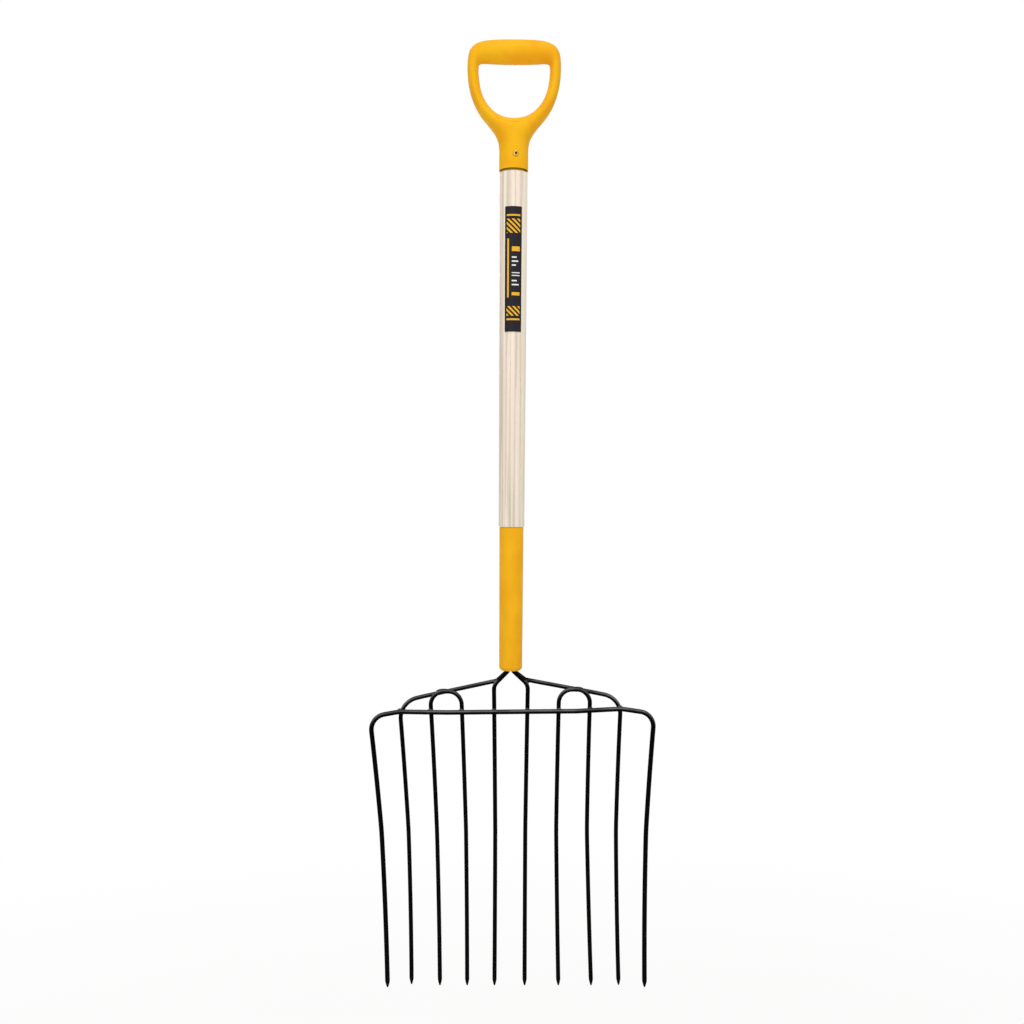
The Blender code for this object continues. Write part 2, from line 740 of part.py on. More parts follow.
def centre_route(side):
    """Rod from the ferrule straight down as the fifth or sixth tine."""
    across = side * CENTRE_TINE_SPACING / 2
    corners = tang_corners(side)
    drop = on_side(CENTRE_ELBOW_DROPS, side)
    corners.append((across + ELBOW_SHIFT, drop, CENTRE_ELBOW_RADIUS))
    corners += tine_corners(tine_number("centre", side), across)
    return rounded_route(corners, in_middle)


def rod_radii(places, diameter, pointed_start, pointed_finish):
    """Radius at each place of a rod, drawn thinner and pointed towards its tine ends."""
    distances = [0.0]
    for earlier, later in zip(places, places[1:]):
        distances.append(distances[-1] + (later - earlier).length)
    total = distances[-1]
    tine_length = HEAD_LENGTH - BAR_DROP
    radii = []
    for distance in distances:
        ends = []
        if pointed_start:
            ends.append(distance)
        if pointed_finish:
            ends.append(total - distance)
        from_end = min(ends)
        slimming = max(0.0, 1 - from_end / tine_length)
        local = diameter - (TINE_DIAMETER - TINE_END_DIAMETER) * slimming
        if from_end < TINE_POINT_LENGTH:
            share = from_end / TINE_POINT_LENGTH
            local = TINE_POINT_DIAMETER + (local - TINE_POINT_DIAMETER) * share
        radii.append(local / 2)
    return radii


def with_point_start(places, pointed_start, pointed_finish):
    """Add the place where each point begins, so that the point keeps its length."""
    places = list(places)
    if pointed_start:
        direction = (places[1] - places[0]).normalized()
        places.insert(1, places[0] + direction * TINE_POINT_LENGTH)
    if pointed_finish:
        direction = (places[-2] - places[-1]).normalized()
        places.insert(-1, places[-1] + direction * TINE_POINT_LENGTH)
    return places


def swept_rod(places, radii, sides=ROD_SIDES):
    """Round rod along a line of places, closed at both ends."""
    shape = bmesh.new()
    rings = []
    normal = Vector((0.0, -1.0, 0.0))
    for index, place in enumerate(places):
        before = places[max(index - 1, 0)]
        after = places[min(index + 1, len(places) - 1)]
        direction = (after - before).normalized()
        normal = (normal - direction * normal.dot(direction)).normalized()
        side = direction.cross(normal)
        ring = []
        for corner in range(sides):
            turn = 2 * math.pi * corner / sides
            offset = normal * math.cos(turn) + side * math.sin(turn)
            ring.append(shape.verts.new(place + offset * radii[index]))
        rings.append(ring)
    for ring, next_ring in zip(rings, rings[1:]):
        for corner in range(sides):
            beyond = (corner + 1) % sides
            shape.faces.new((ring[corner], ring[beyond], next_ring[beyond], next_ring[corner]))
    shape.faces.new(rings[0])
    shape.faces.new(rings[-1])
    bmesh.ops.recalc_face_normals(shape, faces=shape.faces)
    return shape


def make_rod(name, route, diameter, material, pointed_start):
    """One bent rod. Returns the slightly fatter copy that weld beads are cut back by."""
    places = with_point_start(route, pointed_start, True)
    radii = rod_radii(places, diameter, pointed_start, True)
    object_from_bmesh(name, swept_rod(places, radii), material)
    fatter = [radius + TOUCH_GAP for radius in radii]
    return make_cutter(object_from_bmesh(name + "_clearance", swept_rod(places, fatter)))


def make_rods(material):
    """All seven rods of the head, and for each the cutter that clears it, by its name."""
    cutters = {"bow": make_rod("outer_bow", bow_route(), BOW_DIAMETER, material, True)}
    for side, word in ((-1, "left"), (1, "right")):
        for kind, route, pointed_start in (
            ("shoulder_tine", shoulder_route(side), False),
            ("hairpin", hairpin_route(side), True),
            ("centre_tine", centre_route(side), False),
        ):
            rod = make_rod(word + "_" + kind, route, TINE_DIAMETER, material, pointed_start)
            cutters[kind, side] = rod
    return cutters


def bar_drop_at(across):
    """Drop of the bar's centre line at one distance from the middle."""
    stations = bow_stations()
    for (start, start_drop), (finish, finish_drop) in zip(stations, stations[1:]):
        if across <= finish:
            share = (across - start) / (finish - start)
            return start_drop + (finish_drop - start_drop) * share
    return BAR_DROP


def make_weld(name, centre, size, material, cutters):
    """One rounded weld bead of the given width, depth and height, cut back by the rods."""
    shape = bmesh.new()
    upright = Matrix.Rotation(math.pi / 2, 4, "X")
    bmesh.ops.create_uvsphere(
        shape,
        u_segments=WELD_SIDES,
        v_segments=WELD_RINGS,
        radius=0.5,
        matrix=Matrix.Translation(centre) @ Matrix.Diagonal((*size, 1.0)) @ upright,
    )
    weld = object_from_bmesh(name, shape, material)
    cut_with(weld, cutters)
    return weld


def make_bar_welds(material, cutters):
    """A bead at each place where the bar crosses an inner tine, named for the tine."""
    crossings = (
        ("shoulder", "shoulder_tine", SHOULDER_REACH - SHOULDER_BEAD_INSET),
        ("hairpin_outer", "hairpin", HAIRPIN_CENTRE + HAIRPIN_WIDTH / 2),
        ("hairpin_inner", "hairpin", HAIRPIN_CENTRE - HAIRPIN_WIDTH / 2),
        ("centre", "centre_tine", CENTRE_TINE_SPACING / 2),
    )
    layer = -(TINE_DIAMETER + TOUCH_GAP) / 2
    size = (BEAD_REACH * 2, BEAD_THICKNESS, BEAD_REACH * 2)
    for tine, rod, reach in crossings:
        for side in (-1, 1):
            number = tine_number(tine, side)
            across = side * reach + (ELBOW_SHIFT if tine == "centre" else 0.0)
            centre = head_point(across, bar_drop_at(across), layer)
            rods = (cutters["bow"], cutters[rod, side])
            make_weld("bar_weld_%d" % number, centre, size, material, rods)


def make_shoulder_welds(material, cutters):
    """Beads that join each shoulder rod to the hairpin and the centre tine before it."""
    layer = (TINE_DIAMETER + TOUCH_GAP) / 2
    hairpin_size = (HAIRPIN_BEAD_LENGTH, BEAD_THICKNESS, HAIRPIN_BEAD_HEIGHT)
    branch_size = (BRANCH_BEAD_REACH * 2, BEAD_THICKNESS, BRANCH_BEAD_REACH * 2)
    for side, word in ((-1, "left"), (1, "right")):
        shoulder = cutters["shoulder_tine", side]
        contact = side * (HAIRPIN_CENTRE + HAIRPIN_BEAD_OUTWARD)
        top = head_point(contact, hairpin_top_drop(side), layer)
        rods = (shoulder, cutters["hairpin", side])
        make_weld(word + "_hairpin_weld", top, hairpin_size, material, rods)
        contact = side * (ELBOW_REACH + BRANCH_BEAD_OUTWARD) + ELBOW_SHIFT
        branch_drop = on_side(ELBOW_DROPS, side) + BRANCH_BEAD_DROP
        branch = head_point(contact, branch_drop, layer)
        rods = (shoulder, cutters["centre_tine", side])
        make_weld(word + "_branch_weld", branch, branch_size, material, rods)


def main():
    """Build every piece of the fork."""
    clear_scene()
    yellow_plastic = make_material("moulded_polypropylene", YELLOW_PLASTIC)
    yellow_paint = make_material("ferrule_paint", YELLOW_PAINT)
    black_enamel = make_material("black_enamel", BLACK_ENAMEL)
    ash = make_material("lacquered_ash", LACQUERED_ASH)
    film = make_material("label_film", LABEL_FILM)
    zinc = make_material("zinc_plated_steel", ZINC_PLATE)
    make_grip(yellow_plastic)
    make_screw(zinc)
    make_shaft(ash)
    make_label(film)
    make_ferrule(yellow_paint)
    rod_cutters = make_rods(black_enamel)
    make_bar_welds(black_enamel, rod_cutters)
    make_shoulder_welds(black_enamel, rod_cutters)


main()
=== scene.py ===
"""Looks of an ensilage fork: moulded D grip, lacquered ash shaft, painted ferrule, enamelled rods.

The packed solids give the frame: the shaft's axis is world Z, the origin is the underside of the
grip bar, and -Y is towards whoever faces the hollow side of the head. Lengths are in metres. The
sizes of the solids are repeated here, apart from the screw's recess and crown, and each finer
piece stands where its solid stands.
"""

import math

import bmesh
import bpy
from mathutils import Matrix, Vector


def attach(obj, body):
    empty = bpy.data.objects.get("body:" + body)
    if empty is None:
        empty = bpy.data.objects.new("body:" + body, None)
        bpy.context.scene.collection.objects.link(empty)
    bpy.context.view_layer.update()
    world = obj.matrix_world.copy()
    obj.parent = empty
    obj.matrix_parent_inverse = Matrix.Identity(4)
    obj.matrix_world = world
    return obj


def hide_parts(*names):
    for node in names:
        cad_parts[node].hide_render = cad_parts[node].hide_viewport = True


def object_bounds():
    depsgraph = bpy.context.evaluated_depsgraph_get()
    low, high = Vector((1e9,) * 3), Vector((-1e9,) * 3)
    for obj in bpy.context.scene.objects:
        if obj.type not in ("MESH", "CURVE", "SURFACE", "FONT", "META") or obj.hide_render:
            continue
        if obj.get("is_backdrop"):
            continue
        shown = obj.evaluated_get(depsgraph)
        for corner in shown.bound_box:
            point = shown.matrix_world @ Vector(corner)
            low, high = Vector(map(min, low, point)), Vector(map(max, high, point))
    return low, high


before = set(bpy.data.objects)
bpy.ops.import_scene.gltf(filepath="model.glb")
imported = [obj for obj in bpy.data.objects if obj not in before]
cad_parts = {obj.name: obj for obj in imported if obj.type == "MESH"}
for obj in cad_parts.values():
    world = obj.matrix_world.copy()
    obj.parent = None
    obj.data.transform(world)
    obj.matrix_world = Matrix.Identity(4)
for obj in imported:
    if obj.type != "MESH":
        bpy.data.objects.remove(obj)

bl_info = {
    "name": "Ensilage fork",
    "version": (1, 0, 0),
    "blender": (4, 5, 0),
    "location": "3D View > Sidebar > Fork",
    "description": "Finishes a ten-tine ensilage fork, piece by piece",
    "category": "Object",
}

ONLY_BODY = "root"

# Clearance between two pieces that touch on the real fork
TOUCH_GAP = 0.0003

# D grip: bar, arms and hand opening
GRIP_WIDTH = 0.1186
GRIP_BAR_HEIGHT = 0.0316
GRIP_BAR_DEPTH = 0.0280
GRIP_BAR_BELLY = 0.0024
GRIP_BELLY_POWER = 16
GRIP_ARM_DEPTH = 0.0240
GRIP_YOKE_DEPTH = 0.0345
GRIP_WIDEST_DROP = 0.0075
GRIP_OUTER_REACH = 0.0830
HAND_OPENING_WIDTH = 0.0900
HAND_OPENING_HEIGHT = 0.0681
GRIP_CORNER_POWER = 3.9
OPENING_CORNER_POWER = 7.0
OPENING_FOOT_POWER = 2.2
ARM_TO_BAR_POWER = 2
ARM_TO_YOKE_POWER = 3
GRIP_STATIONS = 24
GRIP_SECTION_POINTS = 8

# Grip socket
SOCKET_TOP_DROP = 0.0965
SOCKET_RIM_DROP = 0.1348
SOCKET_WALL = 0.0030
SOCKET_STEP = 0.0006
SOCKET_SLOT = 0.0022
SOCKET_YOKE_RISE = 0.0060
RIM_CHAMFER_DEPTH = 0.0022
RIM_LIP_WALL = 0.0008

# Raised line that the mould leaves under the hand opening
RIB_DROP = 0.0765
RIB_LENGTH = 0.0140
RIB_POINTS = 24
RIB_SIDES = 12
RIB_TAPER_POWER = 0.3

# Screw through the socket. Its cross recess is cut wider, longer and deeper than the solid's, and
# its crown has more steps.
SCREW_DROP = 0.1171
SCREW_TURN = math.radians(8.4)
SCREW_HEAD_DIAMETER = 0.0070
SCREW_HEAD_HEIGHT = 0.0021
SCREW_SHANK_DIAMETER = 0.0036
SCREW_LENGTH = 0.0150
SCREW_POINT_LENGTH = 0.0040
SCREW_SEAT_DEPTH = 0.0008
SCREW_CROWN = ((1.0, 0.30), (0.97, 0.52), (0.90, 0.71), (0.78, 0.86), (0.60, 0.95), (0.35, 0.99))
RECESS_WIDTH = 0.0017
RECESS_SPAN = 0.0050
RECESS_DEPTH = 0.0014
RECESS_FOOT_SHARE = 0.6
THREAD_PITCH = 0.0014
THREAD_HEIGHT = 0.0004

# Ash shaft
SHAFT_TOP_DIAMETER = 0.0357
SHAFT_EXPOSED_LENGTH = 0.4501
TOP_TENON_LENGTH = 0.0370
FERRULE_STEP = 0.0010
SHAFT_EDGE_ROUND = 0.0008

# Label round the front of the shaft
LABEL_LENGTH = 0.1576
LABEL_TOP_OFFSET = 0.0464
LABEL_ARC = math.radians(70.5)
LABEL_TURN = math.radians(0.9)
LABEL_THICKNESS = 0.0003
LABEL_COLUMNS = 40
LABEL_ROWS = 8

# Steel ferrule
FERRULE_LENGTH = 0.1819
FERRULE_TOP_DIAMETER = 0.0307
FERRULE_FOOT_DIAMETER = 0.0292
FERRULE_WALL = 0.0015
FERRULE_LIP_RADIUS = 0.0054
FERRULE_EDGE_ROUND = 0.0005
SHAFT_END_HEIGHT = 0.0300
TANG_LENGTH = 0.1150

# Steel rods
TINE_DIAMETER = 0.0055
TINE_END_DIAMETER = 0.0052
TINE_POINT_LENGTH = 0.0070
TINE_POINT_DIAMETER = 0.0012
POINT_TAPER_POWER = 0.75
POINT_CROWDING = 2
BOW_DIAMETER = 0.0061

# Head, seen from the front: distances from the centre line and drops below the ferrule.
# The bends were made by hand, so the left one comes first where the two sides differ.
HEAD_LENGTH = 0.3710
HEAD_SHIFT = -0.0006
BOW_OVERREACH = 0.0394
BOW_SHIFT = 0.0025
BOW_CORNER_RADII = (0.0250, 0.0187)
BAR_DROP = 0.0522
# Each bend of the bar: how far across, and how far above BAR_DROP.
BAR_BENDS = ((-0.1408, 0.0006), (-0.0800, -0.0003), (0.0840, 0.0013), (0.1408, 0.0042))
BAR_BEND_RADIUS = 0.0600
BOW_CORNER_FALLS = (0.0060, 0.0021)
CENTRE_TINE_SPACING = 0.0430
ELBOW_SHIFT = 0.0010
HAIRPIN_WIDTH = 0.0396
HAIRPIN_CENTRE = 0.0820
HAIRPIN_BEND_RADIUS = 0.0170
HAIRPIN_HANGS = (-0.0007, 0.0001)
SHOULDER_REACH = 0.1408
SHOULDER_CORNER_DROPS = (0.0401, 0.0352)
SHOULDER_CORNER_RADII = (0.0255, 0.0240)
ELBOW_INSET = 0.0036
ELBOW_DROPS = (0.0134, 0.0119)
ELBOW_RADIUS = 0.0070
CENTRE_ELBOW_DROPS = (0.0185, 0.0178)
CENTRE_ELBOW_RADIUS = 0.0140
MOUTH_BEND_DROP = -0.0001
MOUTH_BEND_RADIUS = 0.0060
MOUTH_EASE = 0.0200

# Tines: even spacing of the points, and how far each hand-set tine strays to the right,
# at its point and half-way down
TIP_SPACING = 0.0358
TIP_STRAY = (0.0135, 0.0058, 0.0046, 0.0017, -0.0011, -0.0005, 0.0045, 0.0083, 0.0058, 0.0007)
MID_TINE_STRAY = (0.0023, 0.0027, 0.0017, 0.0018, 0.0015, -0.0006, -0.0024, -0.0033, -0.0030, -0.0025)
MID_TINE_DROP = 0.1990
MID_TINE_RADIUS = 0.5000
TINE_ORDER = ("bow", "shoulder", "hairpin_outer", "hairpin_inner", "centre")

# Dish of the head, seen from the side
DISH_RADIUS = 0.6000
NECK_LEAN = math.radians(7.0)
HEAD_TILT = math.radians(0.37)

# Weld beads
BEAD_REACH = 0.0041
SHOULDER_BEAD_INSET = 0.0011
BEAD_THICKNESS = 0.0046
BEAD_LUMP_LEVEL = 0.62
HAIRPIN_BEAD_LENGTH = 0.0180
HAIRPIN_BEAD_HEIGHT = 0.0068
HAIRPIN_BEAD_OUTWARD = 0.0030
BRANCH_BEAD_REACH = 0.0041
BRANCH_BEAD_OUTWARD = 0.0014
BRANCH_BEAD_DROP = 0.0016

# Sign and name of each side of the head
SIDES = ((-1, "left"), (1, "right"))

# Fineness of the visible surfaces
TURNED_SIDES = 96
SCREW_SIDES = 48
LIP_STEPS = 10
BEND_STEP = math.radians(5.0)
LARGEST_BEND_SHARE = 0.49
RUN_STEP = 0.0100
POINT_STEPS = 5
MERGE_DISTANCE = 0.000001
SMOOTH_ANGLE = math.radians(35.0)
GRIP_SMOOTH_ANGLE = math.radians(50.0)

# Places worked out from the sizes above
SHAFT_TOP_RADIUS = SHAFT_TOP_DIAMETER / 2
SHAFT_FOOT_RADIUS = FERRULE_TOP_DIAMETER / 2 + FERRULE_STEP
SOCKET_RADIUS = SHAFT_TOP_RADIUS + SOCKET_STEP
SOCKET_BORE_RADIUS = SOCKET_RADIUS - SOCKET_WALL
RIM_Z = -SOCKET_RIM_DROP
SHAFT_SHOULDER_Z = RIM_Z - SOCKET_SLOT
FERRULE_TOP_Z = SHAFT_SHOULDER_Z - SHAFT_EXPOSED_LENGTH
MOUTH_Z = FERRULE_TOP_Z - FERRULE_LENGTH
SHAFT_END_Z = MOUTH_Z + SHAFT_END_HEIGHT
LABEL_TOP_Z = SHAFT_SHOULDER_Z - LABEL_TOP_OFFSET
TANG_OFFSET = (TINE_DIAMETER + TOUCH_GAP) / 2
TANG_BORE_RADIUS = math.hypot(TANG_OFFSET, TANG_OFFSET) + TINE_DIAMETER / 2 + TOUCH_GAP
BOW_LAYER = -(TINE_DIAMETER / 2 + BOW_DIAMETER / 2 + TOUCH_GAP)
BACK_LAYER = TINE_DIAMETER + TOUCH_GAP
LAST_TINE = len(TIP_STRAY)
BOW_WIDTH = 2 * (SHOULDER_REACH + BOW_OVERREACH)
ELBOW_REACH = CENTRE_TINE_SPACING / 2 - ELBOW_INSET

# Looks. A span is what a measure runs through while a look fades in: low, high, and then the value
# at each end where these aren't 0 and 1. A stretch draws a pattern out along the shaft.
WHITE = (1.0, 1.0, 1.0)
NOISE_DETAIL = 2.0
SPAN_INPUTS = ("From Min", "From Max", "To Min", "To Max")

# A Mix node's sockets for colours, which share their names with its other sockets
MIX_SHARE = 0
MIX_UNDER = 6
MIX_OVER = 7
MIX_RESULT = 2

# Moulded plastic. Its grain is drawn coarser than a real mould's, so that it shows.
FLOW_SPAN = (0.35, 0.70)
MOULD_GRAIN_RELIEF = 0.00004
SEAM_RELIEF = 0.00012

# Zinc plate: dull patches, and painted shade round the middle of the screw's head, where the
# recess lies. The grain of the plate is drawn coarser than it is, so that it shows.
TARNISH_SIZE = 0.0012
TARNISH_SPAN = (0.40, 0.75)
TARNISH_ROUGHNESS = 0.2
PAINTED_RECESS_SHADE_SPAN = (0.0012, 0.0026, 1.0, 0.0)
PLATE_GRAIN_SIZE = 0.0004
PLATE_GRAIN_RELIEF = 0.00001

# Ash: rings cut aslant, streaks, pores, and painted shade at the shoulder, which darkens the slot
# under the grip. The pores are drawn a little wider than they are, so that they show. A wave texture
# runs through one band in WAVE_BAND units of its scaled coordinate.
WAVE_BAND = 2 * math.pi / 20
RING_SLANT = math.radians(24.0)
RING_STRETCH = 50.0
EARLY_WOOD_SPAN = (0.45, 1.0)
STREAK_STRETCH = 60.0
PALE_STREAK_SPAN = (0.32, 0.50, 1.0, 0.0)
GREY_STREAK_SPAN = (0.54, 0.66)
PORE_STRETCH = 22.0
PORE_SPAN = (0.58, 0.70)
PORE_DEPTH = 0.00005
WOOD_DETAIL = 1.0
# Painted shade: a band from just under the shaft's shoulder upwards, which darkens the slot under the
# grip
PAINTED_SHADE_FOOT_DROP = 0.0018
PAINTED_SHADE_TOP_DROP = 0.0005
PAINTED_SLOT_SHADE_SPAN = (SHAFT_SHOULDER_Z - PAINTED_SHADE_FOOT_DROP, SHAFT_SHOULDER_Z - PAINTED_SHADE_TOP_DROP)

# Ferrule paint
THICK_PAINT_SIZE = 0.020
THICK_PAINT_STRETCH = 2.0
THICK_PAINT_SPAN = (0.35, 0.70)
PEEL_RELIEF = 0.00005

# Enamel: a painted grey highlight on faces that look upwards, from the neck's elbows down to just below
# the bar
THIN_ENAMEL_SIZE = 0.006
THIN_ENAMEL_SPAN = (0.50, 0.75)
ENAMEL_SHINE_SPAN = (0.3, 0.7)
ENAMEL_SHINE_CHANGES = (-0.06, 0.08)
ENAMEL_RUN_SIZE = 0.0014
ENAMEL_RELIEF = 0.00003
WELD_RELIEF = 0.00020
PAINTED_HIGHLIGHT_FOOT_Z = MOUTH_Z - BAR_DROP - BOW_DIAMETER
PAINTED_HIGHLIGHT_TOP_Z = MOUTH_Z - ELBOW_DROPS[0]
PAINTED_HIGHLIGHT_FADE = 0.0200
PAINTED_HIGHLIGHT_FACING_SPAN = (0.00, 0.40)
PAINTED_HIGHLIGHT_FOOT_SPAN = (PAINTED_HIGHLIGHT_FOOT_Z - PAINTED_HIGHLIGHT_FADE, PAINTED_HIGHLIGHT_FOOT_Z)
PAINTED_HIGHLIGHT_TOP_SPAN = (PAINTED_HIGHLIGHT_TOP_Z, PAINTED_HIGHLIGHT_TOP_Z + TINE_DIAMETER / 2, 1.0, 0.0)
PAINTED_HIGHLIGHT_CROWN_SPAN = (0.62, 0.92, 1.0, 0.10)
PAINTED_HIGHLIGHT_PATCH_SIZE = 0.0300
PAINTED_HIGHLIGHT_PATCH_SPAN = (0.35, 0.60, 0.45, 1.0)

# Label film
MILLIMETRE = 0.001
STRIPE_SHARE = 0.5
INK_SIZE = 0.004
INK_SPAN = (0.3, 0.7)
INK_LIFT = 1.35
FILM_WAVE_SIZE = 0.003
FILM_WAVE_RELIEF = 0.00003

# The label's print, in millimetres: middle (from the label's own middle line, from its foot), size
STRIPED_PANELS = (
    ((0.0, 133.0), (17.0, 18.0)),
    ((0.0, 26.0), (17.0, 12.0)),
)
ACCENT_BARS = (
    ((0.0, 146.5), (17.0, 2.2)),
    ((-6.6, 80.0), (2.2, 74.0)),
    ((0.0, 15.5), (17.0, 2.2)),
    ((3.2, 104.0), (10.0, 6.0)),
    ((3.2, 47.5), (10.0, 4.0)),
)
LIGHT_BARS = (
    ((1.2, 93.5), (6.0, 1.8)),
    ((2.2, 88.5), (8.0, 1.8)),
    ((0.8, 83.5), (5.2, 1.8)),
    ((3.2, 74.0), (10.0, 1.2)),
    ((3.2, 70.5), (10.0, 1.2)),
    ((1.4, 64.0), (6.4, 1.8)),
    ((2.6, 59.0), (8.8, 1.8)),
)

# Floor: its sides, and the distances from its middle between which it turns plain white to the eye
FLOOR_SIDES = 96
FLOOR_FADE = (0.7, 2.0)

# Lamps: name, place, point aimed at, width, height, power in watts
LAMPS = (
    ("key_lamp", (-0.8, -2.6, 0.1), (0.0, 0.0, -0.55), 1.6, 2.0, 12.0),
    ("fill_lamp", (1.5, -2.2, -0.1), (0.0, 0.0, -0.6), 1.4, 1.8, 5.0),
    ("top_lamp", (0.0, -2.6, 4.2), (0.0, 0.0, -0.75), 4.0, 1.6, 121.0),
    ("back_lamp", (-0.6, 2.6, 0.4), (0.0, 0.0, -0.6), 1.6, 1.6, 18.0),
)

# Camera: where the photograph was taken from. Its roll is in radians.
CAMERA_PLACE = (0.00057, -1.6256, -0.5677)
CAMERA_ROLL = 0.006
CAMERA_LENS = 45.0
CAMERA_SENSOR = 36.0


def linear(hex_colour):
    """Linear colour of an sRGB hex value."""
    channels = []
    for start in (0, 2, 4):
        value = int(hex_colour[start:start + 2], 16) / 255
        channels.append(value / 12.92 if value <= 0.04045 else ((value + 0.055) / 1.055) ** 2.4)
    return tuple(channels)


def colour_setting(name, description, hex_colour):
    """A colour that a user may change."""
    return bpy.props.FloatVectorProperty(
        name=name,
        description=description,
        default=linear(hex_colour),
        min=0.0,
        max=1.0,
        size=3,
        subtype="COLOR",
    )


def length_setting(name, description, default):
    """A length in metres that a user may change."""
    return bpy.props.FloatProperty(
        name=name,
        description=description,
        default=default,
        min=0.0,
        precision=5,
        subtype="DISTANCE",
        unit="LENGTH",
    )


def share_setting(name, description, default):
    """A share from 0 to 1 that a user may change."""
    return bpy.props.FloatProperty(
        name=name,
        description=description,
        default=default,
        min=0.0,
        max=1.0,
        subtype="FACTOR",
    )


def count_setting(name, description, default):
    """A whole number that a user may change."""
    return bpy.props.IntProperty(name=name, description=description, default=default, min=1)


class GripSettings(bpy.types.PropertyGroup):
    """Sizes and colours of the moulded grip"""

    colour: colour_setting("Colour", "Colour of the plastic", "F7B91A")
    deep_colour: colour_setting("Deep colour", "Colour where the plastic flowed thicker", "F5AB16")
    roughness: share_setting("Roughness", "How matt the moulded surface is", 0.50)
    grain_size: length_setting("Grain size", "Size of the fine mould texture", 0.0007)
    flow_size: length_setting("Flow mark size", "Size of the faint flow marks", 0.030)
    seam_width: length_setting("Seam width", "Half of the width of the mould's parting line", 0.0003)
    rib_radius: length_setting("Rib radius", "Radius of the raised line under the opening", 0.0006)
    fineness: count_setting("Fineness", "Subdivisions of the grip's surface", 3)


class ScrewSettings(bpy.types.PropertyGroup):
    """Sizes and colours of the screw"""

    colour: colour_setting("Colour", "Colour of the yellow zinc plate", "E3C46C")
    tarnish: colour_setting("Tarnish", "Colour of the plate where it has dulled", "A98B3C")
    # This colour is painted shade round the middle of the screw's head, where the recess lies
    painted_recess_shade: colour_setting("Grime", "Colour of the dirt in and round the recess", "4A3C12")
    roughness: share_setting("Roughness", "How dull the plate is", 0.26)
    recess_width: length_setting("Recess width", "Width of one arm of the cross recess", RECESS_WIDTH)


class ShaftSettings(bpy.types.PropertyGroup):
    """Sizes and colours of the ash shaft"""

    pale_colour: colour_setting("Late wood", "Colour of the dense pale part of a ring", "F3E4D2")
    warm_colour: colour_setting("Early wood", "Colour of the open warm part of a ring", "E4CDBA")
    pore_colour: colour_setting("Pores", "Colour of the open pores", "CFB59D")
    streak_colour: colour_setting("Streaks", "Colour of the broad pale streaks", "FAF0DC")
    grey_colour: colour_setting("Grey streaks", "Colour of the broad greyish streaks", "D6CDB8")
    ring_width: length_setting("Ring width", "Width of one year's growth", 0.0052)
    streak_width: length_setting("Streak width", "Width of the broad streaks", 0.0050)
    # This colour is painted shade in the slot under the grip and on the edge just below it
    painted_slot_shade_colour: colour_setting("Glue", "Colour of the dirty glue in the slot under the grip", "A88A1E")
    pore_length: length_setting("Pore length", "Length of an open pore along the grain", 0.009)
    roughness: share_setting("Roughness", "How matt the wood is under its lacquer", 0.5)


class LabelSettings(bpy.types.PropertyGroup):
    """Sizes and colours of the label"""

    field_colour: colour_setting("Field", "Colour of the printed field", "18141A")
    accent_colour: colour_setting("Accent", "Colour of the main printed bars", "EFB42C")
    light_colour: colour_setting("Light", "Colour of the thin bars", "EEEBE4")
    stripe_pitch: length_setting("Stripe pitch", "Distance from one slanted stripe to the next", 0.0064)


class FerruleSettings(bpy.types.PropertyGroup):
    """Colours and surface of the painted ferrule"""

    colour: colour_setting("Colour", "Colour of the paint", "F4B41A")
    deep_colour: colour_setting("Deep colour", "Colour where the paint lies thicker", "EDA915")
    roughness: share_setting("Roughness", "How matt the paint is", 0.32)
    peel_size: length_setting("Peel size", "Size of the paint's orange peel", 0.0018)


class HeadSettings(bpy.types.PropertyGroup):
    """Sizes and colours of the rods and their welds"""

    colour: colour_setting("Colour", "Colour of the enamel", "030303")
    thin_colour: colour_setting("Thin colour", "Colour where the enamel is thin", "080708")
    # This colour is a painted highlight laid on the upper faces of the bar and the shoulders
    painted_highlight_colour: colour_setting("Rubbed colour", "Colour of the rubbed upper faces", "6A686B")
    roughness: share_setting("Roughness", "How matt the enamel is", 0.34)
    rod_sides: count_setting("Rod sides", "Sides of each rod's round section", 20)
    bead_lump: length_setting("Bead lumps", "Height of the lumps on a weld bead", 0.0009)
    bead_lump_size: length_setting("Bead lump size", "Width of the lumps on a weld bead", 0.0030)
    bead_fineness: count_setting("Bead fineness", "Subdivisions of a weld bead", 5)


class StageSettings(bpy.types.PropertyGroup):
    """Floor and surroundings"""

    floor_colour: colour_setting("Floor", "Colour of the floor", "F4F4F2")
    floor_drop: length_setting("Floor drop", "How far below the points the floor lies", 0.30)
    floor_reach: length_setting("Floor reach", "Radius of the floor", 3.0)
    white_share: share_setting("White share", "How much of the floor is plain white to the eye", 0.80)
    sky_strength: share_setting("Sky strength", "Soft light from all round", 0.52)


def fill_inputs(tree, node, values):
    """Set a node's inputs. A socket, or a node by its first output, is linked instead."""
    for key, value in values.items():
        socket = node.inputs[key]
        if isinstance(value, bpy.types.Node):
            value = value.outputs[0]
        if isinstance(value, bpy.types.NodeSocket):
            tree.links.new(value, socket)
        elif socket.type == "RGBA":
            socket.default_value = (*value, 1.0)
        else:
            socket.default_value = value
    return node


def add_node(tree, kind, values=None, **settings):
    """Add a node: settings are its own properties, values go to its inputs or are linked to them."""
    node = tree.nodes.new(kind)
    for name, setting in settings.items():
        setattr(node, name, setting)
    return fill_inputs(tree, node, values or {})


def new_material(name, values):
    """A material whose shader has the given values. Returns it, its tree, its shader and its place."""
    material = bpy.data.materials.new(name)
    material.use_nodes = True
    tree = material.node_tree
    shader = fill_inputs(tree, tree.nodes["Principled BSDF"], values)
    place = add_node(tree, "ShaderNodeTexCoord").outputs["Object"]
    return material, tree, shader, place


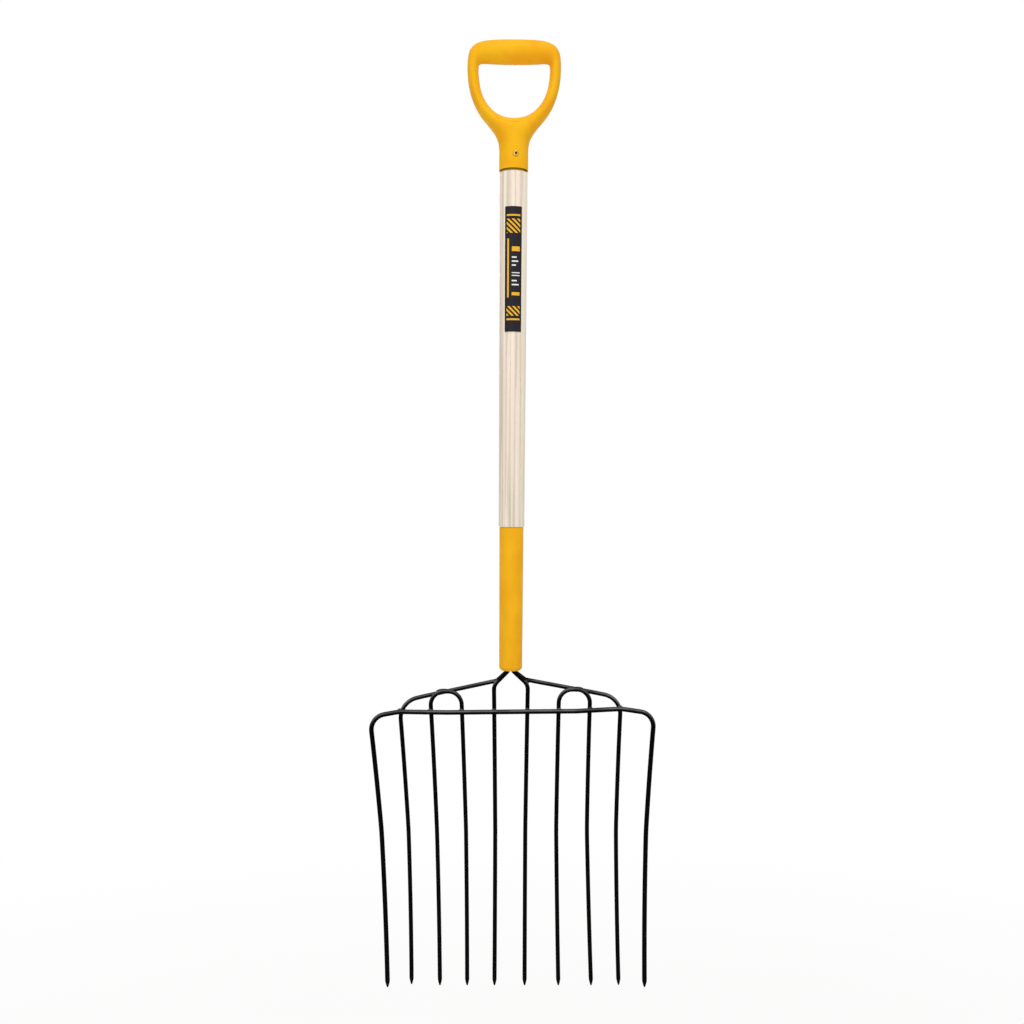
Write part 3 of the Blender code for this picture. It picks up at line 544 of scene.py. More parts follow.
def speckle(tree, place, size, detail=NOISE_DETAIL, stretch=1.0):
    """Soft noise with features of a size in metres, drawn out along the shaft by a stretch."""
    drawn = add_node(tree, "ShaderNodeMapping", {"Vector": place, "Scale": (1.0, 1.0, 1.0 / stretch)})
    return add_node(tree, "ShaderNodeTexNoise", {"Vector": drawn, "Scale": 1 / size, "Detail": detail})


def faded(tree, *limits):
    """Product of smooth fades. A limit is a measure and the span that it fades over."""
    product = None
    for measure, span in limits:
        values = {"Value": measure, **dict(zip(SPAN_INPUTS, span))}
        fade = add_node(tree, "ShaderNodeMapRange", values, interpolation_type="SMOOTHSTEP")
        if product is not None:
            fade = add_node(tree, "ShaderNodeMath", {0: product, 1: fade}, operation="MULTIPLY")
        product = fade
    return product


def layered(tree, colour, *layers):
    """A colour with others laid over it in turn. A layer is the share it covers, and its colour."""
    for share, over in layers:
        values = {MIX_SHARE: share, MIX_UNDER: colour, MIX_OVER: over}
        colour = add_node(tree, "ShaderNodeMix", values, data_type="RGBA").outputs[MIX_RESULT]
    return colour


def raised(tree, *reliefs):
    """Normal of a surface with reliefs laid one over another, each a height and its depth in metres."""
    normal = None
    for height, depth in reliefs:
        values = {"Height": height, "Distance": depth, "Strength": 1.0}
        if normal is not None:
            values["Normal"] = normal
        normal = add_node(tree, "ShaderNodeBump", values)
    return normal


def moulded_polypropylene(settings):
    """Injection-moulded polypropylene: an even satin yellow, a little deeper where the melt
    flowed thick, with a fine mould grain and a parting line round the middle of its depth."""
    values = {"Roughness": settings.roughness, "IOR": 1.49, "Specular IOR Level": 0.08}
    material, tree, shader, place = new_material("moulded_polypropylene", values)
    thick = faded(tree, (speckle(tree, place, settings.flow_size), FLOW_SPAN))
    grain = speckle(tree, place, settings.grain_size)
    depth = add_node(tree, "ShaderNodeSeparateXYZ", {0: place}).outputs["Y"]
    off_seam = add_node(tree, "ShaderNodeMath", {0: depth}, operation="ABSOLUTE")
    seam = faded(tree, (off_seam, (0.0, settings.seam_width, 1.0, 0.0)))
    fill_inputs(tree, shader, {
        "Base Color": layered(tree, settings.colour, (thick, settings.deep_colour)),
        "Normal": raised(tree, (grain, MOULD_GRAIN_RELIEF), (seam, SEAM_RELIEF)),
    })
    return material


def zinc_plated_steel(settings):
    """Yellow-passivated zinc as barrel plated: a bright brassy metal, duller in soft patches, and
    darker with painted shade round the middle of the head, where the recess lies."""
    material, tree, shader, place = new_material("zinc_plated_steel", {"Metallic": 1.0})
    dull = faded(tree, (speckle(tree, place, TARNISH_SIZE), TARNISH_SPAN))
    # Painted shade: darker round the middle of the head, where the recess lies
    middle = screw_frame() @ Vector((0.0, 0.0, SCREW_HEAD_HEIGHT))
    away = add_node(tree, "ShaderNodeVectorMath", {0: place, 1: middle}, operation="DISTANCE")
    painted_shade = faded(tree, (away.outputs["Value"], PAINTED_RECESS_SHADE_SPAN))
    shine = (0.0, 1.0, settings.roughness, settings.roughness + TARNISH_ROUGHNESS)
    fill_inputs(tree, shader, {
        "Base Color": layered(tree, settings.colour, (dull, settings.tarnish), (painted_shade, settings.painted_recess_shade)),
        "Roughness": faded(tree, (dull, shine)),
        "Normal": raised(tree, (speckle(tree, place, PLATE_GRAIN_SIZE), PLATE_GRAIN_RELIEF)),
    })
    return material


def lacquered_ash(settings):
    """White ash, turned along the grain and clear lacquered: straight cream and pinkish rings, broad
    pale and greyish streaks, short darker pores in the early wood, and a soft shine over all. The
    tenon in the slot under the grip, and the edge below it, carry painted shade that darkens the slot."""
    material, tree, shader, place = new_material("lacquered_ash", {
        "IOR": 1.5,
        "Roughness": settings.roughness,
        "Specular IOR Level": 0.25,
        "Coat Weight": 0.12,
        "Coat Roughness": 0.25,
    })
    drawn = {"Vector": place, "Rotation": (0.0, 0.0, RING_SLANT), "Scale": (1.0, 1.0, 1 / RING_STRETCH)}
    rings = add_node(
        tree,
        "ShaderNodeTexWave",
        {
            "Vector": add_node(tree, "ShaderNodeMapping", drawn),
            "Scale": WAVE_BAND / settings.ring_width,
            "Distortion": 3.0,
            "Detail": 3.0,
            "Detail Scale": 0.6,
            "Detail Roughness": 0.55,
        },
        wave_type="BANDS",
        bands_direction="X",
        wave_profile="SAW",
    ).outputs["Fac"]
    early = (rings, EARLY_WOOD_SPAN)
    broad = speckle(tree, place, settings.streak_width, WOOD_DETAIL, STREAK_STRETCH)
    pores = speckle(tree, place, settings.pore_length / PORE_STRETCH, WOOD_DETAIL, PORE_STRETCH)
    open_pores = faded(tree, (pores, PORE_SPAN), early)
    height = add_node(tree, "ShaderNodeSeparateXYZ", {0: place}).outputs["Z"]
    wood = layered(
        tree,
        settings.pale_colour,
        (faded(tree, early), settings.warm_colour),
        (faded(tree, (broad, PALE_STREAK_SPAN)), settings.streak_colour),
        (faded(tree, (broad, GREY_STREAK_SPAN)), settings.grey_colour),
        (open_pores, settings.pore_colour),
        # Painted shade in the slot under the grip and on the edge just below it
        (faded(tree, (height, PAINTED_SLOT_SHADE_SPAN)), settings.painted_slot_shade_colour),
    )
    fill_inputs(tree, shader, {"Base Color": wood, "Normal": raised(tree, (open_pores, -PORE_DEPTH))})
    return material


def painted_ferrule(settings):
    """Steel tube with a smooth stoved paint: even yellow with a fine orange peel and a soft shine."""
    material, tree, shader, place = new_material("ferrule_paint", {
        "IOR": 1.5,
        "Roughness": settings.roughness,
        "Specular IOR Level": 0.07,
        "Coat Weight": 0.04,
        "Coat Roughness": 0.2,
    })
    patches = speckle(tree, place, THICK_PAINT_SIZE, NOISE_DETAIL, THICK_PAINT_STRETCH)
    thick = faded(tree, (patches, THICK_PAINT_SPAN))
    fill_inputs(tree, shader, {
        "Base Color": layered(tree, settings.colour, (thick, settings.deep_colour)),
        "Normal": raised(tree, (speckle(tree, place, settings.peel_size), PEEL_RELIEF)),
    })
    return material


def black_enamel(name, settings, depth):
    """Dipped black enamel over drawn steel: near black, with a soft shine and a slightly uneven
    surface, and a painted grey highlight on the upper faces of the bar and the shoulders. On a
    weld the relief is deeper."""
    values = {"IOR": 1.5, "Specular IOR Level": 0.02}
    material, tree, shader, place = new_material(name, values)
    patches = speckle(tree, place, THIN_ENAMEL_SIZE)
    thin = faded(tree, (patches, THIN_ENAMEL_SPAN))
    facing = add_node(tree, "ShaderNodeNewGeometry").outputs["Normal"]
    upward = add_node(tree, "ShaderNodeSeparateXYZ", {0: facing}).outputs["Z"]
    height = add_node(tree, "ShaderNodeSeparateXYZ", {0: place}).outputs["Z"]
    # Painted highlight: grey on faces that look upwards, between just below the bar and the neck's
    # elbows
    painted_highlight = faded(
        tree,
        (upward, PAINTED_HIGHLIGHT_FACING_SPAN),
        (height, PAINTED_HIGHLIGHT_FOOT_SPAN),
        (height, PAINTED_HIGHLIGHT_TOP_SPAN),
        (upward, PAINTED_HIGHLIGHT_CROWN_SPAN),
        (speckle(tree, place, PAINTED_HIGHLIGHT_PATCH_SIZE), PAINTED_HIGHLIGHT_PATCH_SPAN),
    )
    shine = [settings.roughness + change for change in ENAMEL_SHINE_CHANGES]
    fill_inputs(tree, shader, {
        "Base Color": layered(
            tree, settings.colour, (thin, settings.thin_colour), (painted_highlight, settings.painted_highlight_colour)
        ),
        "Roughness": faded(tree, (patches, (*ENAMEL_SHINE_SPAN, *shine))),
        "Normal": raised(tree, (speckle(tree, place, ENAMEL_RUN_SIZE), depth)),
    })
    return material


def printed_bars(tree, across, along, centre, bars):
    """Mask of a set of printed bars, in millimetres."""
    mask = 0.0
    for middle, size in bars:
        sides = {0: across, 1: centre + middle[0], 2: size[0] / 2}
        ends = {0: along, 1: middle[1], 2: size[1] / 2}
        in_width = add_node(tree, "ShaderNodeMath", sides, operation="COMPARE")
        in_length = add_node(tree, "ShaderNodeMath", ends, operation="COMPARE")
        bar = add_node(tree, "ShaderNodeMath", {0: in_width, 1: in_length}, operation="MULTIPLY")
        mask = add_node(tree, "ShaderNodeMath", {0: mask, 1: bar}, operation="MAXIMUM")
    return mask


def label_film(settings, width, length):
    """Printed vinyl film: a charcoal field with slanted stripes and plain bars, under a smooth
    satin face. The pattern follows the film's own map, in millimetres."""
    values = {"IOR": 1.5, "Roughness": 0.45, "Specular IOR Level": 0.18}
    material, tree, shader, place = new_material("label_film", values)
    printed = add_node(tree, "ShaderNodeUVMap", uv_map="print")
    to_size = {"Vector": printed, "Scale": (width / MILLIMETRE, length / MILLIMETRE, 1.0)}
    spread = add_node(tree, "ShaderNodeMapping", to_size)
    sides = add_node(tree, "ShaderNodeSeparateXYZ", {0: spread}).outputs
    across, along = sides["X"], sides["Y"]
    centre = width / MILLIMETRE / 2
    panels = printed_bars(tree, across, along, centre, STRIPED_PANELS)
    bars = printed_bars(tree, across, along, centre, ACCENT_BARS)
    light = printed_bars(tree, across, along, centre, LIGHT_BARS)

    # Slanted stripes: the slope shifts each height sideways, and every pitch repeats
    slope = add_node(tree, "ShaderNodeMath", {0: across, 1: along}, operation="ADD")
    pitch = settings.stripe_pitch / MILLIMETRE
    turns = add_node(tree, "ShaderNodeMath", {0: slope, 1: pitch}, operation="DIVIDE")
    part = add_node(tree, "ShaderNodeMath", {0: turns}, operation="FRACT")
    stripe = add_node(tree, "ShaderNodeMath", {0: part, 1: STRIPE_SHARE}, operation="GREATER_THAN")
    stripes = add_node(tree, "ShaderNodeMath", {0: panels, 1: stripe}, operation="MULTIPLY")
    accent = add_node(tree, "ShaderNodeMath", {0: stripes, 1: bars}, operation="MAXIMUM")
    ink = faded(tree, (speckle(tree, place, INK_SIZE), INK_SPAN))
    lifted = [channel * INK_LIFT for channel in settings.field_colour]
    film = layered(
        tree,
        settings.field_colour,
        (ink, lifted),
        (accent, settings.accent_colour),
        (light, settings.light_colour),
    )
    waves = raised(tree, (speckle(tree, place, FILM_WAVE_SIZE), FILM_WAVE_RELIEF))
    fill_inputs(tree, shader, {"Base Color": film, "Normal": waves})
    return material


def tidied(item, smooth_angle=SMOOTH_ANGLE):
    """Merge doubled points, turn every face outwards and smooth the round surfaces."""
    shape = bmesh.new()
    shape.from_mesh(item.data)
    bmesh.ops.remove_doubles(shape, verts=shape.verts, dist=MERGE_DISTANCE)
    bmesh.ops.recalc_face_normals(shape, faces=shape.faces)
    shape.to_mesh(item.data)
    shape.free()
    item.data.shade_smooth()
    item.data.set_sharp_from_angle(angle=smooth_angle)
    return item


def new_object(name, data):
    """A linked object that holds a mesh, a lamp or a camera."""
    item = bpy.data.objects.new(name, data)
    bpy.context.scene.collection.objects.link(item)
    return item


def object_from_bmesh(name, shape):
    """Turn a finished bmesh into a linked object."""
    mesh = bpy.data.meshes.new(name)
    shape.to_mesh(mesh)
    shape.free()
    return new_object(name, mesh)


def made_plain(item):
    """Turn what an object's modifiers make into its own plain mesh."""
    bpy.context.view_layer.update()
    shown = item.evaluated_get(bpy.context.evaluated_depsgraph_get())
    plain = bpy.data.meshes.new_from_object(shown)
    rough = item.data
    item.modifiers.clear()
    item.data = plain
    bpy.data.meshes.remove(rough)
    plain.name = item.name
    return item


def finished(item, material, slot, *nodes):
    """Give a piece its material, let it ride on the fork and stand for its solids. Its slot is not used.
    """
    if material is not None:
        item.data.materials.clear()
        item.data.materials.append(material)
    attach(item, ONLY_BODY)
    if nodes:
        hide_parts(*nodes)
    return item


def cut_with(item, cutters):
    """Cut each cutter out of an object, then remove the cutters."""
    for cutter in cutters:
        boolean = item.modifiers.new("cut_" + cutter.name, "BOOLEAN")
        boolean.operation = "DIFFERENCE"
        boolean.solver = "EXACT"
        boolean.object = cutter
    made_plain(item)
    for cutter in cutters:
        bpy.data.objects.remove(cutter, do_unlink=True)
    return item


def turned_shape(profile, sides=TURNED_SIDES):
    """Spin a closed outline of (radius, height) points round the Z axis."""
    shape = bmesh.new()
    corners = [shape.verts.new((radius, 0.0, height)) for radius, height in profile]
    outline = []
    for index, corner in enumerate(corners):
        following = (index + 1) % len(corners)
        if profile[index][0] != 0.0 or profile[following][0] != 0.0:
            outline.append(shape.edges.new((corner, corners[following])))
    bmesh.ops.spin(
        shape,
        geom=corners + outline,
        axis=(0.0, 0.0, 1.0),
        cent=(0.0, 0.0, 0.0),
        angle=2 * math.pi,
        steps=sides,
        use_merge=True,
    )
    bmesh.ops.remove_doubles(shape, verts=shape.verts, dist=MERGE_DISTANCE)
    bmesh.ops.recalc_face_normals(shape, faces=shape.faces)
    return shape


def signed_power(value, power):
    """Raise to a power and keep the sign, for superellipse outlines."""
    return math.copysign(abs(value) ** power, value)


def grip_edges(angle):
    """Inner and outer edge of the grip at one angle round the hand opening."""
    across = math.cos(angle)
    up = math.sin(angle)
    if up >= 0.0:
        outer_power = 2 / GRIP_CORNER_POWER
        inner_power = 2 / OPENING_CORNER_POWER
        outer_height = GRIP_BAR_HEIGHT + GRIP_WIDEST_DROP
        inner_height = GRIP_BAR_BELLY + GRIP_WIDEST_DROP
    else:
        outer_power = 1.0
        inner_power = 2 / OPENING_FOOT_POWER
        outer_height = GRIP_OUTER_REACH
        inner_height = HAND_OPENING_HEIGHT - GRIP_WIDEST_DROP
    belly = GRIP_BAR_BELLY * max(up, 0.0) ** GRIP_BELLY_POWER
    inner = Vector((
        HAND_OPENING_WIDTH / 2 * signed_power(across, inner_power),
        0.0,
        -GRIP_WIDEST_DROP + inner_height * signed_power(up, inner_power) - belly,
    ))
    outer = Vector((
        GRIP_WIDTH / 2 * signed_power(across, outer_power),
        0.0,
        -GRIP_WIDEST_DROP + outer_height * signed_power(up, outer_power),
    ))
    return inner, outer


def grip_half_depth(angle):
    """Half of the grip's front-to-back depth at one angle round the hand opening."""
    up = math.sin(angle)
    if up >= 0.0:
        depth = GRIP_ARM_DEPTH + (GRIP_BAR_DEPTH - GRIP_ARM_DEPTH) * up ** ARM_TO_BAR_POWER
    else:
        depth = GRIP_ARM_DEPTH + (GRIP_YOKE_DEPTH - GRIP_ARM_DEPTH) * abs(up) ** ARM_TO_YOKE_POWER
    return depth / 2


def cage_swell(points):
    """How far a control ring stands outside the cubic spline round that it makes."""
    return 3 / (2 + math.cos(2 * math.pi / points))


def grip_cage():
    """Control cage of the D grip: a loop round the hand opening, joined to a round socket."""
    shape = bmesh.new()
    section_swell = cage_swell(GRIP_SECTION_POINTS)
    loop_swell = cage_swell(GRIP_STATIONS)
    middle = Vector((0.0, 0.0, -GRIP_WIDEST_DROP))
    # Stations run anticlockwise from the right, so the yoke is three quarters of the way round
    foot = GRIP_STATIONS * 3 // 4
    joined = range(foot - 1, foot + 2)
    open_ends = (foot - 2, foot + 2)
    socket_yoke_z = SOCKET_YOKE_RISE - SOCKET_TOP_DROP
    loop = []
    for station in range(GRIP_STATIONS):
        angle = 2 * math.pi * station / GRIP_STATIONS
        inner, outer = grip_edges(angle)
        half_depth = grip_half_depth(angle)
        if station in joined:
            outer = Vector((inner.x, 0.0, socket_yoke_z))
        inner = middle + (inner - middle) * loop_swell
        outer = middle + (outer - middle) * loop_swell
        centre = (inner + outer) / 2
        half_width = (outer - inner) / 2
        ring = {}
        for point in range(GRIP_SECTION_POINTS):
            turn = 2 * math.pi * point / GRIP_SECTION_POINTS
            if station in joined and point == 0:
                continue
            depth = half_depth * math.sin(turn) * section_swell
            if station in joined and point in (1, GRIP_SECTION_POINTS - 1):
                depth = math.copysign(SOCKET_RADIUS, depth)
            place = centre + half_width * (math.cos(turn) * section_swell)
            ring[point] = shape.verts.new((place.x, -depth, place.z))
        loop.append(ring)
    for station in range(GRIP_STATIONS):
        after = (station + 1) % GRIP_STATIONS
        for point in range(GRIP_SECTION_POINTS):
            beyond = (point + 1) % GRIP_SECTION_POINTS
            opens_into_socket = open_ends[0] <= station < open_ends[1] and 0 in (point, beyond)
            if not opens_into_socket:
                ring, next_ring = loop[station], loop[after]
                shape.faces.new((ring[point], next_ring[point], next_ring[beyond], ring[beyond]))
    last_point = GRIP_SECTION_POINTS - 1
    front = [loop[station][1] for station in range(open_ends[1], open_ends[0] - 1, -1)]
    back = [loop[station][last_point] for station in range(open_ends[0], open_ends[1] + 1)]
    upper = [loop[open_ends[1]][0]] + front + [loop[open_ends[0]][0]] + back
    socket_swell = cage_swell(len(upper))
    below_rim_z = RIM_Z - SOCKET_RADIUS
    mid_socket_z = (RIM_Z - SOCKET_TOP_DROP) / 2
    for height in (-SOCKET_TOP_DROP, mid_socket_z, RIM_Z, below_rim_z):
        lower = []
        for index in range(len(upper)):
            turn = -2 * math.pi * index / len(upper)
            radius = SOCKET_RADIUS * socket_swell
            lower.append(shape.verts.new((radius * math.cos(turn), radius * math.sin(turn), height)))
        for index in range(len(upper)):
            beyond = (index + 1) % len(upper)
            shape.faces.new((upper[index], upper[beyond], lower[beyond], lower[index]))
        upper = lower
    shape.faces.new(upper)
    bmesh.ops.recalc_face_normals(shape, faces=shape.faces)
    return shape


def screw_frame():
    """Place of the screw: its local +Z points out of the socket wall."""
    outward = Vector((math.sin(SCREW_TURN), -math.cos(SCREW_TURN), 0.0))
    seat = outward * (SOCKET_RADIUS - SCREW_SEAT_DEPTH)
    seat.z = -SCREW_DROP
    turn = outward.to_track_quat("Z", "Y").to_matrix().to_4x4()
    return Matrix.Translation(seat) @ turn


def screw_hole(name, shank_radius, depth, seat_radius):
    """Cutter for the screw's clearance hole, with a flat seat for its head."""
    outside = SCREW_HEAD_HEIGHT * 2
    profile = [
        (0.0, -depth),
        (shank_radius, -depth),
        (shank_radius, 0.0),
        (seat_radius, 0.0),
        (seat_radius, outside),
        (0.0, outside),
    ]
    shape = turned_shape(profile, sides=SCREW_SIDES)
    shape.transform(screw_frame())
    return object_from_bmesh(name, shape)


def make_grip(settings):
    """Moulded grip with a blind socket for the shaft and a hole for its screw."""
    material = moulded_polypropylene(settings)
    grip = object_from_bmesh("moulded_d_grip", grip_cage())
    smooth = grip.modifiers.new("smooth", "SUBSURF")
    smooth.levels = settings.fineness
    smooth.render_levels = settings.fineness
    bore_top = RIM_Z + TOP_TENON_LENGTH
    outside = SOCKET_RADIUS * 2
    bore = turned_shape([
        (0.0, bore_top),
        (SOCKET_BORE_RADIUS, bore_top),
        (SOCKET_BORE_RADIUS, RIM_Z + RIM_CHAMFER_DEPTH),
        (SOCKET_RADIUS - RIM_LIP_WALL, RIM_Z),
        (outside, RIM_Z),
        (outside, RIM_Z - outside),
        (0.0, RIM_Z - outside),
    ])
    hole = screw_hole(
        "screw_hole",
        SCREW_SHANK_DIAMETER / 2 + TOUCH_GAP,
        SCREW_LENGTH,
        SCREW_HEAD_DIAMETER / 2 + TOUCH_GAP,
    )
    cut_with(grip, [object_from_bmesh("socket_bore", bore), hole])
    tidied(grip, GRIP_SMOOTH_ANGLE)
    finished(grip, material, "moulded_polypropylene", "d_grip")
    make_rib(settings, grip, material)


def new_tree(name, sockets):
    """A node tree for a modifier, with a geometry output and the named inputs."""
    tree = bpy.data.node_groups.new(name, "GeometryNodeTree")
    tree.is_modifier = True
    tree.interface.new_socket("Geometry", in_out="OUTPUT", socket_type="NodeSocketGeometry")
    tree.interface.new_socket("Geometry", in_out="INPUT", socket_type="NodeSocketGeometry")
    for socket, kind in sockets.items():
        tree.interface.new_socket(socket, in_out="INPUT", socket_type=kind)
    return tree, add_node(tree, "NodeGroupInput").outputs


def end_tree(tree, geometry, material):
    """Finish a tree: real geometry with its material."""
    real = add_node(tree, "GeometryNodeRealizeInstances", {0: geometry})
    painted = add_node(tree, "GeometryNodeSetMaterial", {"Geometry": real, "Material": material})
    add_node(tree, "NodeGroupOutput", {0: painted})
    return tree


def with_tree(item, tree, values):
    """Put a node tree on an object, set its inputs and turn the result into a plain mesh."""
    modifier = item.modifiers.new(tree.name, "NODES")
    modifier.node_group = tree
    identifiers = {
        socket.name: socket.identifier
        for socket in tree.interface.items_tree
        if socket.item_type == "SOCKET" and socket.in_out == "INPUT"
    }
    for name, value in values.items():
        modifier[identifiers[name]] = value
    return made_plain(item)


def swept_round(tree, route, radius, sides):
    """A round tube along a route, with closed ends."""
    circle = add_node(tree, "GeometryNodeCurvePrimitiveCircle", {"Resolution": sides, "Radius": 1.0})
    tube = {"Curve": route, "Profile Curve": circle, "Scale": radius, "Fill Caps": True}
    return add_node(tree, "GeometryNodeCurveToMesh", tube)


def rib_tree():
    """A fine round line laid across the front of a surface."""
    tree, given = new_tree("rib_on_surface", {
        "Surface": "NodeSocketObject",
        "Length": "NodeSocketFloat",
        "Height": "NodeSocketFloat",
        "Radius": "NodeSocketFloat",
        "Points": "NodeSocketInt",
        "Material": "NodeSocketMaterial",
    })
    half = add_node(tree, "ShaderNodeMath", {0: given["Length"], 1: 0.5}, operation="MULTIPLY")
    other = add_node(tree, "ShaderNodeMath", {0: half, 1: -1.0}, operation="MULTIPLY")
    ends = []
    for reach in (other, half):
        end = {"X": reach, "Y": -GRIP_YOKE_DEPTH * 2, "Z": given["Height"]}
        ends.append(add_node(tree, "ShaderNodeCombineXYZ", end))
    line = add_node(tree, "GeometryNodeCurvePrimitiveLine", {"Start": ends[0], "End": ends[1]})
    points = add_node(tree, "GeometryNodeResampleCurve", {"Curve": line, "Count": given["Points"]})
    surface = add_node(tree, "GeometryNodeObjectInfo", {"Object": given["Surface"]}).outputs["Geometry"]
    ray = {"Target Geometry": surface, "Ray Direction": (0.0, 1.0, 0.0), "Ray Length": 1.0}
    hit = add_node(tree, "GeometryNodeRaycast", ray).outputs["Hit Position"]
    laid = add_node(tree, "GeometryNodeSetPosition", {"Geometry": points, "Position": hit})
    share = add_node(tree, "GeometryNodeSplineParameter").outputs["Factor"]
    rising = add_node(tree, "ShaderNodeMath", {0: share, 1: math.pi}, operation="MULTIPLY")
    swell = add_node(tree, "ShaderNodeMath", {0: rising}, operation="SINE")
    taper = add_node(tree, "ShaderNodeMath", {0: swell, 1: RIB_TAPER_POWER}, operation="POWER")
    size = add_node(tree, "ShaderNodeMath", {0: taper, 1: given["Radius"]}, operation="MULTIPLY")
    return end_tree(tree, swept_round(tree, laid, size, RIB_SIDES), given["Material"])


def make_rib(settings, grip, material):
    """Raised line that the mould leaves on the yoke, just under the hand opening."""
    rib = object_from_bmesh("moulded_rib", bmesh.new())
    with_tree(rib, rib_tree(), {
        "Surface": grip,
        "Length": RIB_LENGTH,
        "Height": -RIB_DROP,
        "Radius": settings.rib_radius,
        "Points": RIB_POINTS,
        "Material": material,
    })
    tidied(rib)
    return finished(rib, None, "moulded_polypropylene")


def make_screw(settings):
    """Pan-head screw with a cross recess, set square to the socket wall."""
    head_radius = SCREW_HEAD_DIAMETER / 2
    shank_radius = SCREW_SHANK_DIAMETER / 2
    seat = TOUCH_GAP
    top = seat + SCREW_HEAD_HEIGHT
    profile = [(0.0, -SCREW_LENGTH + TOUCH_GAP)]
    height = -(SCREW_LENGTH - SCREW_POINT_LENGTH)
    core = shank_radius - THREAD_HEIGHT
    while height + THREAD_PITCH < -THREAD_PITCH:
        profile.append((core, height))
        profile.append((shank_radius, height + THREAD_PITCH / 2))
        height += THREAD_PITCH
    profile += [(core, height), (shank_radius, height + THREAD_PITCH)]
    profile += [(shank_radius, seat), (head_radius, seat)]
    profile += [(head_radius * reach, seat + SCREW_HEAD_HEIGHT * rise) for reach, rise in SCREW_CROWN]
    profile.append((0.0, top))
    screw = object_from_bmesh("cross_recess_screw", turned_shape(profile, sides=SCREW_SIDES))
    cutters = []
    for arm, turn in enumerate((0.0, math.pi / 2)):
        slot = bmesh.new()
        size = Matrix.Diagonal((settings.recess_width, RECESS_SPAN, RECESS_DEPTH * 2, 1.0))
        place = Matrix.Translation((0.0, 0.0, top)) @ Matrix.Rotation(turn, 4, "Z") @ size
        bmesh.ops.create_cube(slot, size=1.0, matrix=place)
        foot = [corner for corner in slot.verts if corner.co.z < top]
        narrow = Matrix.Diagonal((RECESS_FOOT_SHARE, RECESS_FOOT_SHARE, 1.0))
        for corner in foot:
            corner.co = narrow @ corner.co
        cutters.append(object_from_bmesh("recess_arm_%d" % (arm + 1), slot))
    cut_with(screw, cutters)
    screw.data.transform(screw_frame())
    tidied(screw)
    return finished(screw, zinc_plated_steel(settings), "zinc_plated_steel", "grip_screw")


def ferrule_inner_radii():
    """Bore radius of the ferrule at its top and at its foot."""
    return (
        FERRULE_TOP_DIAMETER / 2 - FERRULE_WALL,
        FERRULE_FOOT_DIAMETER / 2 - FERRULE_WALL,
    )


def make_shaft(settings):
    """Ash shaft: a tenon for the grip, a slight taper, and a bored tenon for the ferrule."""
    top_radius = SOCKET_BORE_RADIUS - TOUCH_GAP
    tenon_top_z = RIM_Z + TOP_TENON_LENGTH - TOUCH_GAP
    shoulder_z = FERRULE_TOP_Z + TOUCH_GAP
    top_inside, foot_inside = ferrule_inner_radii()
    tenon_top_radius = top_inside - TOUCH_GAP
    fraction = (FERRULE_TOP_Z - SHAFT_END_Z) / FERRULE_LENGTH
    tenon_foot_radius = top_inside + (foot_inside - top_inside) * fraction - TOUCH_GAP
    tang_top_z = MOUTH_Z + TANG_LENGTH + TOUCH_GAP
    edge = SHAFT_EDGE_ROUND
    half = math.sqrt(0.5)
    profile = [
        (0.0, tenon_top_z),
        (top_radius - edge, tenon_top_z),
        (top_radius, tenon_top_z - edge),
        (top_radius, SHAFT_SHOULDER_Z),
        (SHAFT_TOP_RADIUS - edge, SHAFT_SHOULDER_Z),
        (SHAFT_TOP_RADIUS - edge * (1 - half), SHAFT_SHOULDER_Z - edge * (1 - half)),
        (SHAFT_TOP_RADIUS, SHAFT_SHOULDER_Z - edge),
        (SHAFT_FOOT_RADIUS, shoulder_z + edge),
        (SHAFT_FOOT_RADIUS - edge / 2, shoulder_z),
        (tenon_top_radius, shoulder_z),
        (tenon_foot_radius, SHAFT_END_Z),
        (TANG_BORE_RADIUS, SHAFT_END_Z),
        (TANG_BORE_RADIUS, tang_top_z),
        (0.0, tang_top_z),
    ]
    shaft = object_from_bmesh("turned_ash_shaft", turned_shape(profile))
    tidied(shaft)
    return finished(shaft, lacquered_ash(settings), "lacquered_ash", "ash_shaft")


def shaft_radius_at(height):
    """Radius of the bare shaft at one height."""
    run = (SHAFT_SHOULDER_Z - height) / SHAFT_EXPOSED_LENGTH
    return SHAFT_TOP_RADIUS + (SHAFT_FOOT_RADIUS - SHAFT_TOP_RADIUS) * run


